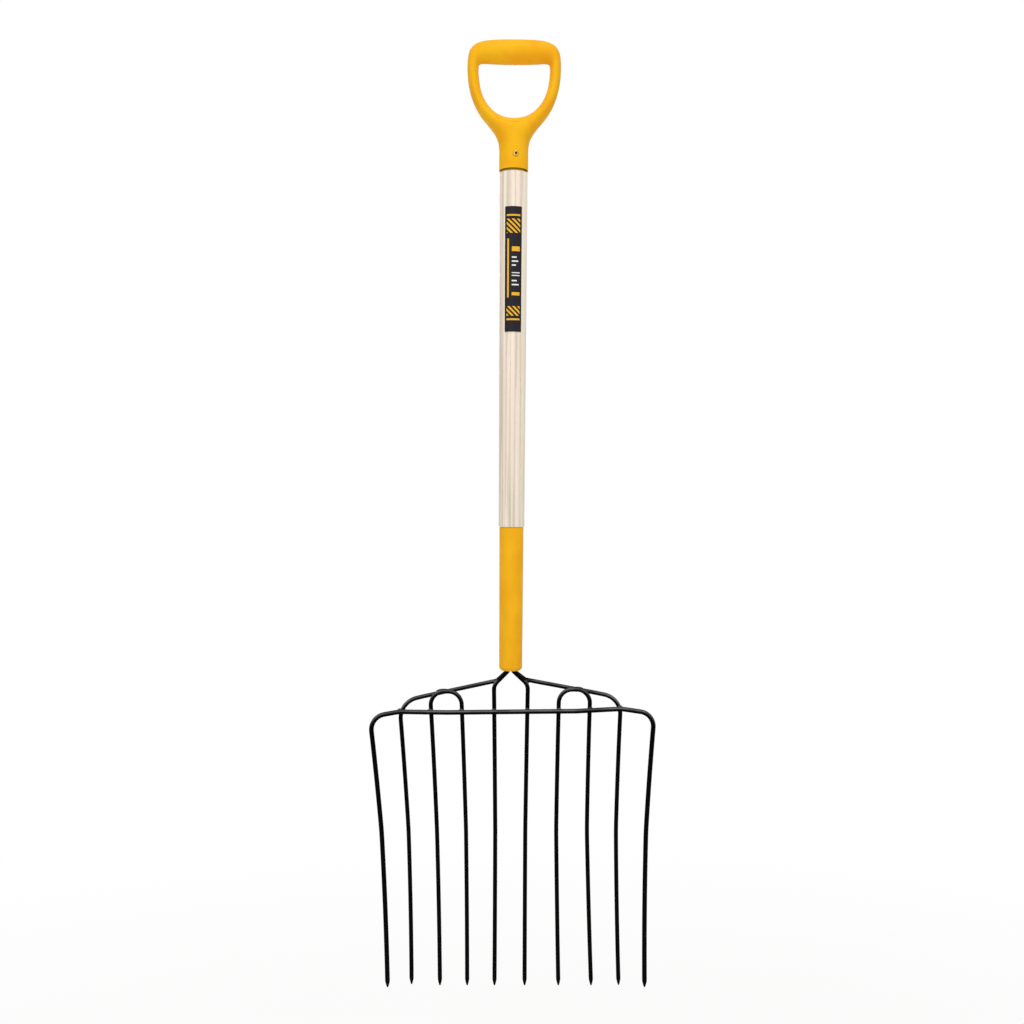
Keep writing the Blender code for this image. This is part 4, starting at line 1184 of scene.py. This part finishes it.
def make_label(settings):
    """Thin film that wraps part of the way round the front of the shaft."""
    shape = bmesh.new()
    print_map = shape.loops.layers.uv.new("print")
    layers = []
    for lift in (TOUCH_GAP, TOUCH_GAP + LABEL_THICKNESS):
        grid = []
        for row in range(LABEL_ROWS + 1):
            height = LABEL_TOP_Z - LABEL_LENGTH * row / LABEL_ROWS
            radius = shaft_radius_at(height) + lift
            line = []
            for column in range(LABEL_COLUMNS + 1):
                turn = LABEL_TURN + LABEL_ARC * (column / LABEL_COLUMNS - 0.5)
                place = (radius * math.sin(turn), -radius * math.cos(turn), height)
                line.append(shape.verts.new(place))
            grid.append(line)
        layers.append(grid)
    shares = {}
    for grid in layers:
        for row, line in enumerate(grid):
            for column, corner in enumerate(line):
                shares[corner] = (column / LABEL_COLUMNS, 1 - row / LABEL_ROWS)
    inner, outer = layers
    for grid in layers:
        for row in range(LABEL_ROWS):
            for column in range(LABEL_COLUMNS):
                upper, lower = grid[row], grid[row + 1]
                shape.faces.new((upper[column], upper[column + 1], lower[column + 1], lower[column]))
    for row in range(LABEL_ROWS):
        for column in (0, LABEL_COLUMNS):
            ring = (inner[row], outer[row], outer[row + 1], inner[row + 1])
            shape.faces.new([line[column] for line in ring])
    for column in range(LABEL_COLUMNS):
        for row in (0, LABEL_ROWS):
            shape.faces.new((
                inner[row][column],
                inner[row][column + 1],
                outer[row][column + 1],
                outer[row][column],
            ))
    for face in shape.faces:
        for loop in face.loops:
            loop[print_map].uv = shares[loop.vert]
    label = object_from_bmesh("wrap_label", shape)
    tidied(label)
    width = shaft_radius_at(LABEL_TOP_Z) * LABEL_ARC
    return finished(label, label_film(settings, width, LABEL_LENGTH), "label_film", "shaft_label")


def make_ferrule(settings):
    """Tapered steel tube whose foot is rolled in round the tang."""
    top_inside, _ = ferrule_inner_radii()
    top_radius = FERRULE_TOP_DIAMETER / 2
    foot_radius = FERRULE_FOOT_DIAMETER / 2
    lip_top_z = MOUTH_Z + FERRULE_LIP_RADIUS
    lip_axis_radius = foot_radius - FERRULE_LIP_RADIUS
    edge = FERRULE_EDGE_ROUND
    half = edge * (1 - math.sqrt(0.5))
    profile = [
        (top_radius - edge, FERRULE_TOP_Z),
        (top_radius - half, FERRULE_TOP_Z - half),
        (top_radius, FERRULE_TOP_Z - edge),
    ]
    for radius, steps in (
        (FERRULE_LIP_RADIUS, range(LIP_STEPS + 1)),
        (FERRULE_LIP_RADIUS - FERRULE_WALL, range(LIP_STEPS, -1, -1)),
    ):
        for step in steps:
            turn = math.pi / 2 * step / LIP_STEPS
            profile.append((
                lip_axis_radius + radius * math.cos(turn),
                lip_top_z - radius * math.sin(turn),
            ))
    profile.append((top_inside, FERRULE_TOP_Z))
    ferrule = object_from_bmesh("painted_ferrule", turned_shape(profile))
    tidied(ferrule)
    return finished(ferrule, painted_ferrule(settings), "ferrule_paint", "ferrule")


def bend_arc(before, here, after, radius):
    """Points of the arc that rounds one corner, within half of the shorter run beside it."""
    back = (before - here).normalized()
    ahead = (after - here).normalized()
    bend = math.pi - back.angle(ahead)
    room = min((before - here).length, (after - here).length) * LARGEST_BEND_SHARE
    cut = min(radius * math.tan(bend / 2), room)
    radius = cut / math.tan(bend / 2)
    steps = max(2, math.ceil(bend / BEND_STEP))
    centre = here + (back + ahead).normalized() * math.hypot(radius, cut)
    start = here + back * cut - centre
    finish = here + ahead * cut - centre
    arc = []
    for step in range(steps + 1):
        share = step / steps
        swing = start * math.sin((1 - share) * bend) + finish * math.sin(share * bend)
        arc.append(centre + swing / math.sin(bend))
    return arc


def rounded_route(corners, layer_at):
    """Places along a bent rod: straight runs between corners, each corner an arc.

    A corner is (across, drop, bend radius) in the front view. layer_at gives how far
    behind the middle layer the rod lies at one distance across.
    """
    flat = [Vector((across, drop)) for across, drop, _ in corners]
    arcs = []
    for index, (_, _, radius) in enumerate(corners):
        if radius == 0.0:
            arcs.append([flat[index]])
        else:
            arcs.append(bend_arc(flat[index - 1], flat[index], flat[index + 1], radius))
    route = list(arcs[0])
    for arc in arcs[1:]:
        start, finish = route[-1], arc[0]
        steps = max(1, math.ceil((finish - start).length / RUN_STEP))
        route += [start.lerp(finish, step / steps) for step in range(1, steps)]
        route += arc
    return [head_point(point.x, point.y, layer_at(point.x)) for point in route]


def in_front(across):
    """Layer of the outer bow, which crosses in front of every other tine."""
    return BOW_LAYER


def in_middle(across):
    """Layer of the hairpins and the centre tines."""
    return 0.0


def behind_hairpin(across):
    """Layer of the shoulder rods: behind the hairpins, then forward to the bar."""
    clear_of_hairpin = HAIRPIN_CENTRE + HAIRPIN_WIDTH / 2 + TINE_DIAMETER
    share = (abs(across) - clear_of_hairpin) / (SHOULDER_REACH - clear_of_hairpin)
    share = min(max(share, 0.0), 1.0)
    return BACK_LAYER * (1 - share * share * (3 - 2 * share))


def dish_depth(drop):
    """How far back the middle layer of the head lies at one drop below the ferrule."""
    if drop <= 0.0:
        return -TANG_OFFSET
    lean = math.asin(drop / DISH_RADIUS - math.sin(NECK_LEAN))
    return -TANG_OFFSET + DISH_RADIUS * (math.cos(lean) - math.cos(NECK_LEAN))


def head_point(across, drop, layer):
    """Place of a point of the head, from its front view and its layer."""
    share = min(max(drop / MOUTH_EASE, 0.0), 1.0)
    tilt = HEAD_TILT * share
    shift = HEAD_SHIFT * share
    side = across * math.cos(tilt) + drop * math.sin(tilt) + shift
    down = drop * math.cos(tilt) - across * math.sin(tilt)
    return Vector((side, dish_depth(drop) + layer, MOUTH_Z - down))


def tine_corners(number, across):
    """Middle and point of one tine, below the bar. Tines are numbered from the left."""
    even = (number - (LAST_TINE + 1) / 2) * TIP_SPACING
    tip = even + TIP_STRAY[number - 1]
    share = (MID_TINE_DROP - BAR_DROP) / (HEAD_LENGTH - BAR_DROP)
    middle = across + (tip - across) * share + MID_TINE_STRAY[number - 1]
    return [
        (middle, MID_TINE_DROP, MID_TINE_RADIUS),
        (tip, HEAD_LENGTH, 0.0),
    ]


def on_side(left_and_right, side):
    """The left value of a pair for side -1, the right one for side +1."""
    return left_and_right[0] if side < 0 else left_and_right[1]


def tine_number(kind, side):
    """Number of a tine, counted from the left."""
    from_edge = TINE_ORDER.index(kind) + 1
    return on_side((from_edge, LAST_TINE + 1 - from_edge), side)


def hairpin_top_drop(side):
    """Drop of a hairpin's top, which hangs at the shoulder rod that crosses it."""
    elbow_drop = on_side(ELBOW_DROPS, side)
    corner_drop = on_side(SHOULDER_CORNER_DROPS, side)
    share = (HAIRPIN_CENTRE - ELBOW_REACH) / (SHOULDER_REACH - ELBOW_REACH)
    return elbow_drop + (corner_drop - elbow_drop) * share + on_side(HAIRPIN_HANGS, side)


def bow_stations():
    """Corners of the bar from its left end to its right end, as (across, drop)."""
    return (
        (-BOW_WIDTH / 2 + BOW_SHIFT, BAR_DROP + BOW_CORNER_FALLS[0]),
        *[(across, BAR_DROP - rise) for across, rise in BAR_BENDS],
        (BOW_WIDTH / 2 + BOW_SHIFT, BAR_DROP + BOW_CORNER_FALLS[1]),
    )


def bow_route():
    """Outer bow: first tine, bar and last tine, bent from one rod."""
    left_radius, right_radius = BOW_CORNER_RADII
    radii = (left_radius, *[BAR_BEND_RADIUS for _ in BAR_BENDS], right_radius)
    stations = bow_stations()
    corners = tine_corners(1, stations[0][0])[::-1]
    corners += [(across, drop, radius) for (across, drop), radius in zip(stations, radii)]
    corners += tine_corners(LAST_TINE, stations[-1][0])
    return rounded_route(corners, in_front)


def hairpin_route(side):
    """Hairpin on one side: two tines and the round top between them."""
    outer = side * (HAIRPIN_CENTRE + HAIRPIN_WIDTH / 2)
    inner = side * (HAIRPIN_CENTRE - HAIRPIN_WIDTH / 2)
    top_drop = hairpin_top_drop(side)
    corners = tine_corners(tine_number("hairpin_outer", side), outer)[::-1]
    corners += [(outer, top_drop, HAIRPIN_BEND_RADIUS), (inner, top_drop, HAIRPIN_BEND_RADIUS)]
    corners += tine_corners(tine_number("hairpin_inner", side), inner)
    return rounded_route(corners, in_middle)


def tang_corners(side):
    """Upper end of a rod that runs up through the ferrule's mouth into the shaft."""
    return [
        (side * TANG_OFFSET, -TANG_LENGTH, 0.0),
        (side * TANG_OFFSET, MOUTH_BEND_DROP, MOUTH_BEND_RADIUS),
    ]


def shoulder_route(side):
    """Rod from the ferrule along the shoulder and down as the second or ninth tine."""
    reach = side * SHOULDER_REACH
    corners = tang_corners(side)
    corners += [
        (side * ELBOW_REACH + ELBOW_SHIFT, on_side(ELBOW_DROPS, side), ELBOW_RADIUS),
        (reach, on_side(SHOULDER_CORNER_DROPS, side), on_side(SHOULDER_CORNER_RADII, side)),
    ]
    corners += tine_corners(tine_number("shoulder", side), reach)
    return rounded_route(corners, behind_hairpin)


def centre_route(side):
    """Rod from the ferrule straight down as the fifth or sixth tine."""
    across = side * CENTRE_TINE_SPACING / 2
    corners = tang_corners(side)
    drop = on_side(CENTRE_ELBOW_DROPS, side)
    corners.append((across + ELBOW_SHIFT, drop, CENTRE_ELBOW_RADIUS))
    corners += tine_corners(tine_number("centre", side), across)
    return rounded_route(corners, in_middle)


def with_point_places(places, pointed_start):
    """Add places along each ground point, so that it keeps its length and its round taper."""
    places = list(places)
    ends = [-1, 0] if pointed_start else [-1]
    for end in ends:
        tip = places[end]
        beside = places[-2] if end else places[1]
        direction = (beside - tip).normalized()
        added = []
        for step in range(1, POINT_STEPS + 1):
            share = (step / POINT_STEPS) ** POINT_CROWDING
            added.append(tip + direction * TINE_POINT_LENGTH * share)
        if end:
            places = places[:-1] + added[::-1] + [tip]
        else:
            places = [tip] + added + places[1:]
    return places


def rod_radii(places, diameter, pointed_start):
    """Radius at each place of a rod, drawn thinner and ground to a point at its tine ends."""
    distances = [0.0]
    for earlier, later in zip(places, places[1:]):
        distances.append(distances[-1] + (later - earlier).length)
    total = distances[-1]
    tine_length = HEAD_LENGTH - BAR_DROP
    radii = []
    for distance in distances:
        from_end = min(distance, total - distance) if pointed_start else total - distance
        slimming = max(0.0, 1 - from_end / tine_length)
        local = diameter - (TINE_DIAMETER - TINE_END_DIAMETER) * slimming
        if from_end < TINE_POINT_LENGTH:
            share = (from_end / TINE_POINT_LENGTH) ** POINT_TAPER_POWER
            local = TINE_POINT_DIAMETER + (local - TINE_POINT_DIAMETER) * share
        radii.append(local / 2)
    return radii


def rod_tree():
    """A round rod along a line of places, whose radius is kept at each place."""
    tree, given = new_tree("rod_along_route", {
        "Sides": "NodeSocketInt",
        "Material": "NodeSocketMaterial",
    })
    route = add_node(tree, "GeometryNodeMeshToCurve", {"Mesh": given["Geometry"]})
    radius = add_node(tree, "GeometryNodeInputNamedAttribute", {"Name": "rod_radius"}, data_type="FLOAT")
    return end_tree(tree, swept_round(tree, route, radius, given["Sides"]), given["Material"])


def make_rod(name, node, route, diameter, pointed_start, tree, settings, material):
    """One bent rod along its route."""
    places = with_point_places(route, pointed_start)
    mesh = bpy.data.meshes.new(name)
    edges = [(index, index + 1) for index in range(len(places) - 1)]
    mesh.from_pydata([tuple(place) for place in places], edges, [])
    radii = mesh.attributes.new("rod_radius", "FLOAT", "POINT")
    radii.data.foreach_set("value", rod_radii(places, diameter, pointed_start))
    rod = new_object(name, mesh)
    with_tree(rod, tree, {"Sides": settings.rod_sides, "Material": material})
    tidied(rod)
    return finished(rod, None, "black_enamel", node)


def make_rods(settings):
    """All seven rods of the head."""
    material = black_enamel("black_enamel", settings, ENAMEL_RELIEF)
    tree = rod_tree()
    rods = [("bent_outer_bow", "outer_bow", bow_route(), BOW_DIAMETER, True)]
    for side, word in SIDES:
        shoulder, hairpin, centre = shoulder_route(side), hairpin_route(side), centre_route(side)
        rods += [
            (word + "_shoulder_rod", word + "_shoulder_tine", shoulder, TINE_DIAMETER, False),
            (word + "_bent_hairpin", word + "_hairpin", hairpin, TINE_DIAMETER, True),
            (word + "_centre_rod", word + "_centre_tine", centre, TINE_DIAMETER, False),
        ]
    return [make_rod(*rod, tree, settings, material) for rod in rods]


def bar_drop_at(across):
    """Drop of the bar's centre line at one distance from the middle."""
    stations = bow_stations()
    for (start, start_drop), (finish, finish_drop) in zip(stations, stations[1:]):
        if across <= finish:
            share = (across - start) / (finish - start)
            return start_drop + (finish_drop - start_drop) * share
    return BAR_DROP


def weld_tree():
    """A lumpy round bead of a given size at a given place."""
    tree, given = new_tree("weld_bead", {
        "Centre": "NodeSocketVector",
        "Size": "NodeSocketVector",
        "Lump Height": "NodeSocketFloat",
        "Lump Size": "NodeSocketFloat",
        "Fineness": "NodeSocketInt",
        "Seed": "NodeSocketInt",
        "Material": "NodeSocketMaterial",
    })
    ball = {"Radius": 0.5, "Subdivisions": given["Fineness"]}
    placed = add_node(tree, "GeometryNodeTransform", {
        "Geometry": add_node(tree, "GeometryNodeMeshIcoSphere", ball),
        "Translation": given["Centre"],
        "Scale": given["Size"],
    })
    scale = add_node(tree, "ShaderNodeMath", {0: 1.0, 1: given["Lump Size"]}, operation="DIVIDE")
    lumps = {"W": given["Seed"], "Scale": scale, "Detail": 1.0}
    noise = add_node(tree, "ShaderNodeTexNoise", lumps, noise_dimensions="4D")
    above = add_node(tree, "ShaderNodeMath", {0: noise, 1: -BEAD_LUMP_LEVEL}, operation="ADD")
    lift = add_node(tree, "ShaderNodeMath", {0: above, 1: given["Lump Height"]}, operation="MULTIPLY")
    normal = add_node(tree, "GeometryNodeInputNormal")
    offset = add_node(tree, "ShaderNodeVectorMath", {0: normal, "Scale": lift}, operation="SCALE")
    lumpy = add_node(tree, "GeometryNodeSetPosition", {"Geometry": placed, "Offset": offset})
    return end_tree(tree, lumpy, given["Material"])


def weld_places():
    """Node, centre and size (across, depth, height) of every weld bead."""
    crossings = (
        ("shoulder", SHOULDER_REACH - SHOULDER_BEAD_INSET),
        ("hairpin_outer", HAIRPIN_CENTRE + HAIRPIN_WIDTH / 2),
        ("hairpin_inner", HAIRPIN_CENTRE - HAIRPIN_WIDTH / 2),
        ("centre", CENTRE_TINE_SPACING / 2),
    )
    front_layer = -BACK_LAYER / 2
    back_layer = BACK_LAYER / 2
    bar_size = (BEAD_REACH * 2, BEAD_THICKNESS, BEAD_REACH * 2)
    hairpin_size = (HAIRPIN_BEAD_LENGTH, BEAD_THICKNESS, HAIRPIN_BEAD_HEIGHT)
    branch_size = (BRANCH_BEAD_REACH * 2, BEAD_THICKNESS, BRANCH_BEAD_REACH * 2)
    places = []
    for tine, reach in crossings:
        for side, _ in SIDES:
            across = side * reach + (ELBOW_SHIFT if tine == "centre" else 0.0)
            centre = head_point(across, bar_drop_at(across), front_layer)
            places.append(("bar_weld_%d" % tine_number(tine, side), centre, bar_size))
    for side, word in SIDES:
        contact = side * (HAIRPIN_CENTRE + HAIRPIN_BEAD_OUTWARD)
        top = head_point(contact, hairpin_top_drop(side), back_layer)
        places.append((word + "_hairpin_weld", top, hairpin_size))
        contact = side * (ELBOW_REACH + BRANCH_BEAD_OUTWARD) + ELBOW_SHIFT
        branch_drop = on_side(ELBOW_DROPS, side) + BRANCH_BEAD_DROP
        branch = head_point(contact, branch_drop, back_layer)
        places.append((word + "_branch_weld", branch, branch_size))
    return places


def make_welds(settings):
    """A bead at each place where two rods are joined."""
    material = black_enamel("black_enamel_on_weld", settings, WELD_RELIEF)
    tree = weld_tree()
    welds = []
    for seed, (node, centre, size) in enumerate(weld_places()):
        weld = object_from_bmesh(node + "_bead", bmesh.new())
        with_tree(weld, tree, {
            "Centre": centre,
            "Size": size,
            "Lump Height": settings.bead_lump,
            "Lump Size": settings.bead_lump_size,
            "Fineness": settings.bead_fineness,
            "Seed": seed,
            "Material": material,
        })
        tidied(weld)
        welds.append(finished(weld, None, "black_enamel", node))
    return welds


def seen_directly(tree):
    """1 for a ray from the camera, a mirror or clear glass, and 0 for light."""
    path = add_node(tree, "ShaderNodeLightPath").outputs
    mirror = {0: path["Is Camera Ray"], 1: path["Is Glossy Ray"]}
    either = add_node(tree, "ShaderNodeMath", mirror, operation="MAXIMUM")
    glass = {0: either, 1: path["Is Transmission Ray"]}
    return add_node(tree, "ShaderNodeMath", glass, operation="MAXIMUM")


def studio_paper(settings):
    """Matt white paper: takes the fork's shadow and looks as white as the light round it."""
    material = bpy.data.materials.new("studio_paper")
    material.use_nodes = True
    tree = material.node_tree
    tree.nodes.clear()
    matt = add_node(tree, "ShaderNodeBsdfDiffuse", {"Color": settings.floor_colour})
    white = add_node(tree, "ShaderNodeEmission", {"Color": WHITE, "Strength": 1.0})
    place = add_node(tree, "ShaderNodeTexCoord").outputs["Object"]
    flat = add_node(tree, "ShaderNodeVectorMath", {0: place, 1: (1.0, 1.0, 0.0)}, operation="MULTIPLY")
    away = add_node(tree, "ShaderNodeVectorMath", {0: flat}, operation="LENGTH").outputs["Value"]
    plain = faded(tree, (away, (*FLOOR_FADE, settings.white_share, 1.0)))
    share = add_node(tree, "ShaderNodeMath", {0: seen_directly(tree), 1: plain}, operation="MULTIPLY")
    mixed = add_node(tree, "ShaderNodeMixShader", {0: share, 1: matt, 2: white})
    add_node(tree, "ShaderNodeOutputMaterial", {"Surface": mixed})
    return material


def make_floor(settings):
    """Round white floor well below the points."""
    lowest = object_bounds()[0]
    shape = bmesh.new()
    height = Matrix.Translation((0.0, 0.0, lowest.z - settings.floor_drop))
    bmesh.ops.create_circle(
        shape, cap_ends=True, radius=settings.floor_reach, segments=FLOOR_SIDES, matrix=height
    )
    floor = object_from_bmesh("studio_floor", shape)
    floor.data.materials.append(studio_paper(settings))
    floor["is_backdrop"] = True


def make_sky(settings):
    """White surroundings that light the fork softly."""
    world = bpy.data.worlds.new("studio_light")
    world.use_nodes = True
    tree = world.node_tree
    tree.nodes.clear()
    strength = faded(tree, (seen_directly(tree), (0.0, 1.0, settings.sky_strength, 1.0)))
    sky = add_node(tree, "ShaderNodeBackground", {"Color": WHITE, "Strength": strength})
    add_node(tree, "ShaderNodeOutputWorld", {"Surface": sky})
    bpy.context.scene.world = world


def make_lamps():
    """Four soft lamps."""
    for name, place, aim, width, length, power in LAMPS:
        lamp = bpy.data.lights.new(name, "AREA")
        lamp.shape = "RECTANGLE"
        lamp.size = width
        lamp.size_y = length
        lamp.energy = power
        direction = Vector(aim) - Vector(place)
        turn = direction.to_track_quat("-Z", "Y").to_matrix().to_4x4()
        new_object(name, lamp).matrix_world = Matrix.Translation(place) @ turn


def make_camera():
    """Camera in the photograph's place."""
    camera = bpy.data.cameras.new("studio_camera")
    camera.lens = CAMERA_LENS
    camera.sensor_width = CAMERA_SENSOR
    item = new_object("studio_camera", camera)
    upright = Matrix.Rotation(math.pi / 2, 4, "X")
    item.matrix_world = Matrix.Translation(CAMERA_PLACE) @ upright @ Matrix.Rotation(CAMERA_ROLL, 4, "Z")
    bpy.context.scene.camera = item


def make_stage(settings):
    """Floor, surroundings, lamps and camera."""
    make_floor(settings)
    make_sky(settings)
    make_lamps()
    make_camera()
    bpy.context.scene.view_settings.view_transform = "Standard"


class FORK_OT_grip(bpy.types.Operator):
    """Make the moulded D grip and the raised line under its opening"""

    bl_idname = "fork.make_grip"
    bl_label = "D grip"

    def execute(self, context):
        make_grip(context.scene.fork_grip)
        return {"FINISHED"}


class FORK_OT_screw(bpy.types.Operator):
    """Make the screw that holds the grip"""

    bl_idname = "fork.make_screw"
    bl_label = "Screw"

    def execute(self, context):
        make_screw(context.scene.fork_screw)
        return {"FINISHED"}


class FORK_OT_shaft(bpy.types.Operator):
    """Make the turned ash shaft"""

    bl_idname = "fork.make_shaft"
    bl_label = "Ash shaft"

    def execute(self, context):
        make_shaft(context.scene.fork_shaft)
        return {"FINISHED"}


class FORK_OT_label(bpy.types.Operator):
    """Make the printed wrap label"""

    bl_idname = "fork.make_label"
    bl_label = "Label"

    def execute(self, context):
        make_label(context.scene.fork_label)
        return {"FINISHED"}


class FORK_OT_ferrule(bpy.types.Operator):
    """Make the painted ferrule"""

    bl_idname = "fork.make_ferrule"
    bl_label = "Ferrule"

    def execute(self, context):
        make_ferrule(context.scene.fork_ferrule)
        return {"FINISHED"}


class FORK_OT_rods(bpy.types.Operator):
    """Make the seven bent rods of the head"""

    bl_idname = "fork.make_rods"
    bl_label = "Rods"

    def execute(self, context):
        make_rods(context.scene.fork_head)
        return {"FINISHED"}


class FORK_OT_welds(bpy.types.Operator):
    """Make the weld beads of the head"""

    bl_idname = "fork.make_welds"
    bl_label = "Welds"

    def execute(self, context):
        make_welds(context.scene.fork_head)
        return {"FINISHED"}


class FORK_OT_stage(bpy.types.Operator):
    """Make the floor, the light and the camera"""

    bl_idname = "fork.make_stage"
    bl_label = "Stage"

    def execute(self, context):
        make_stage(context.scene.fork_stage)
        return {"FINISHED"}


class FORK_PT_pieces(bpy.types.Panel):
    """Lists the pieces and their settings"""

    bl_idname = "FORK_PT_pieces"
    bl_label = "Ensilage fork"
    bl_space_type = "VIEW_3D"
    bl_region_type = "UI"
    bl_category = "Fork"

    def draw(self, context):
        layout = self.layout
        for operator in OPERATORS:
            layout.operator(operator.bl_idname)
        for name, group in SETTINGS.items():
            box = layout.box()
            box.label(text=group.__doc__)
            for setting in group.__annotations__:
                box.prop(getattr(context.scene, name), setting)


SETTINGS = {
    "fork_grip": GripSettings,
    "fork_screw": ScrewSettings,
    "fork_shaft": ShaftSettings,
    "fork_label": LabelSettings,
    "fork_ferrule": FerruleSettings,
    "fork_head": HeadSettings,
    "fork_stage": StageSettings,
}
OPERATORS = (
    FORK_OT_grip,
    FORK_OT_screw,
    FORK_OT_shaft,
    FORK_OT_label,
    FORK_OT_ferrule,
    FORK_OT_rods,
    FORK_OT_welds,
    FORK_OT_stage,
)


def register():
    """Make the settings, operators and panel known to Blender."""
    for name, group in SETTINGS.items():
        bpy.utils.register_class(group)
        setattr(bpy.types.Scene, name, bpy.props.PointerProperty(type=group))
    for operator in OPERATORS:
        bpy.utils.register_class(operator)
    bpy.utils.register_class(FORK_PT_pieces)


def unregister():
    """Take the settings, operators and panel away again."""
    bpy.utils.unregister_class(FORK_PT_pieces)
    for operator in reversed(OPERATORS):
        bpy.utils.unregister_class(operator)
    for name, group in SETTINGS.items():
        delattr(bpy.types.Scene, name)
        bpy.utils.unregister_class(group)


def main():
    """Make every piece in order."""
    register()
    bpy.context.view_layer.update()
    bpy.ops.fork.make_grip()
    bpy.ops.fork.make_screw()
    bpy.ops.fork.make_shaft()
    bpy.ops.fork.make_label()
    bpy.ops.fork.make_ferrule()
    bpy.ops.fork.make_rods()
    bpy.ops.fork.make_welds()
    bpy.ops.fork.make_stage()


if __name__ == "__main__":
    main()
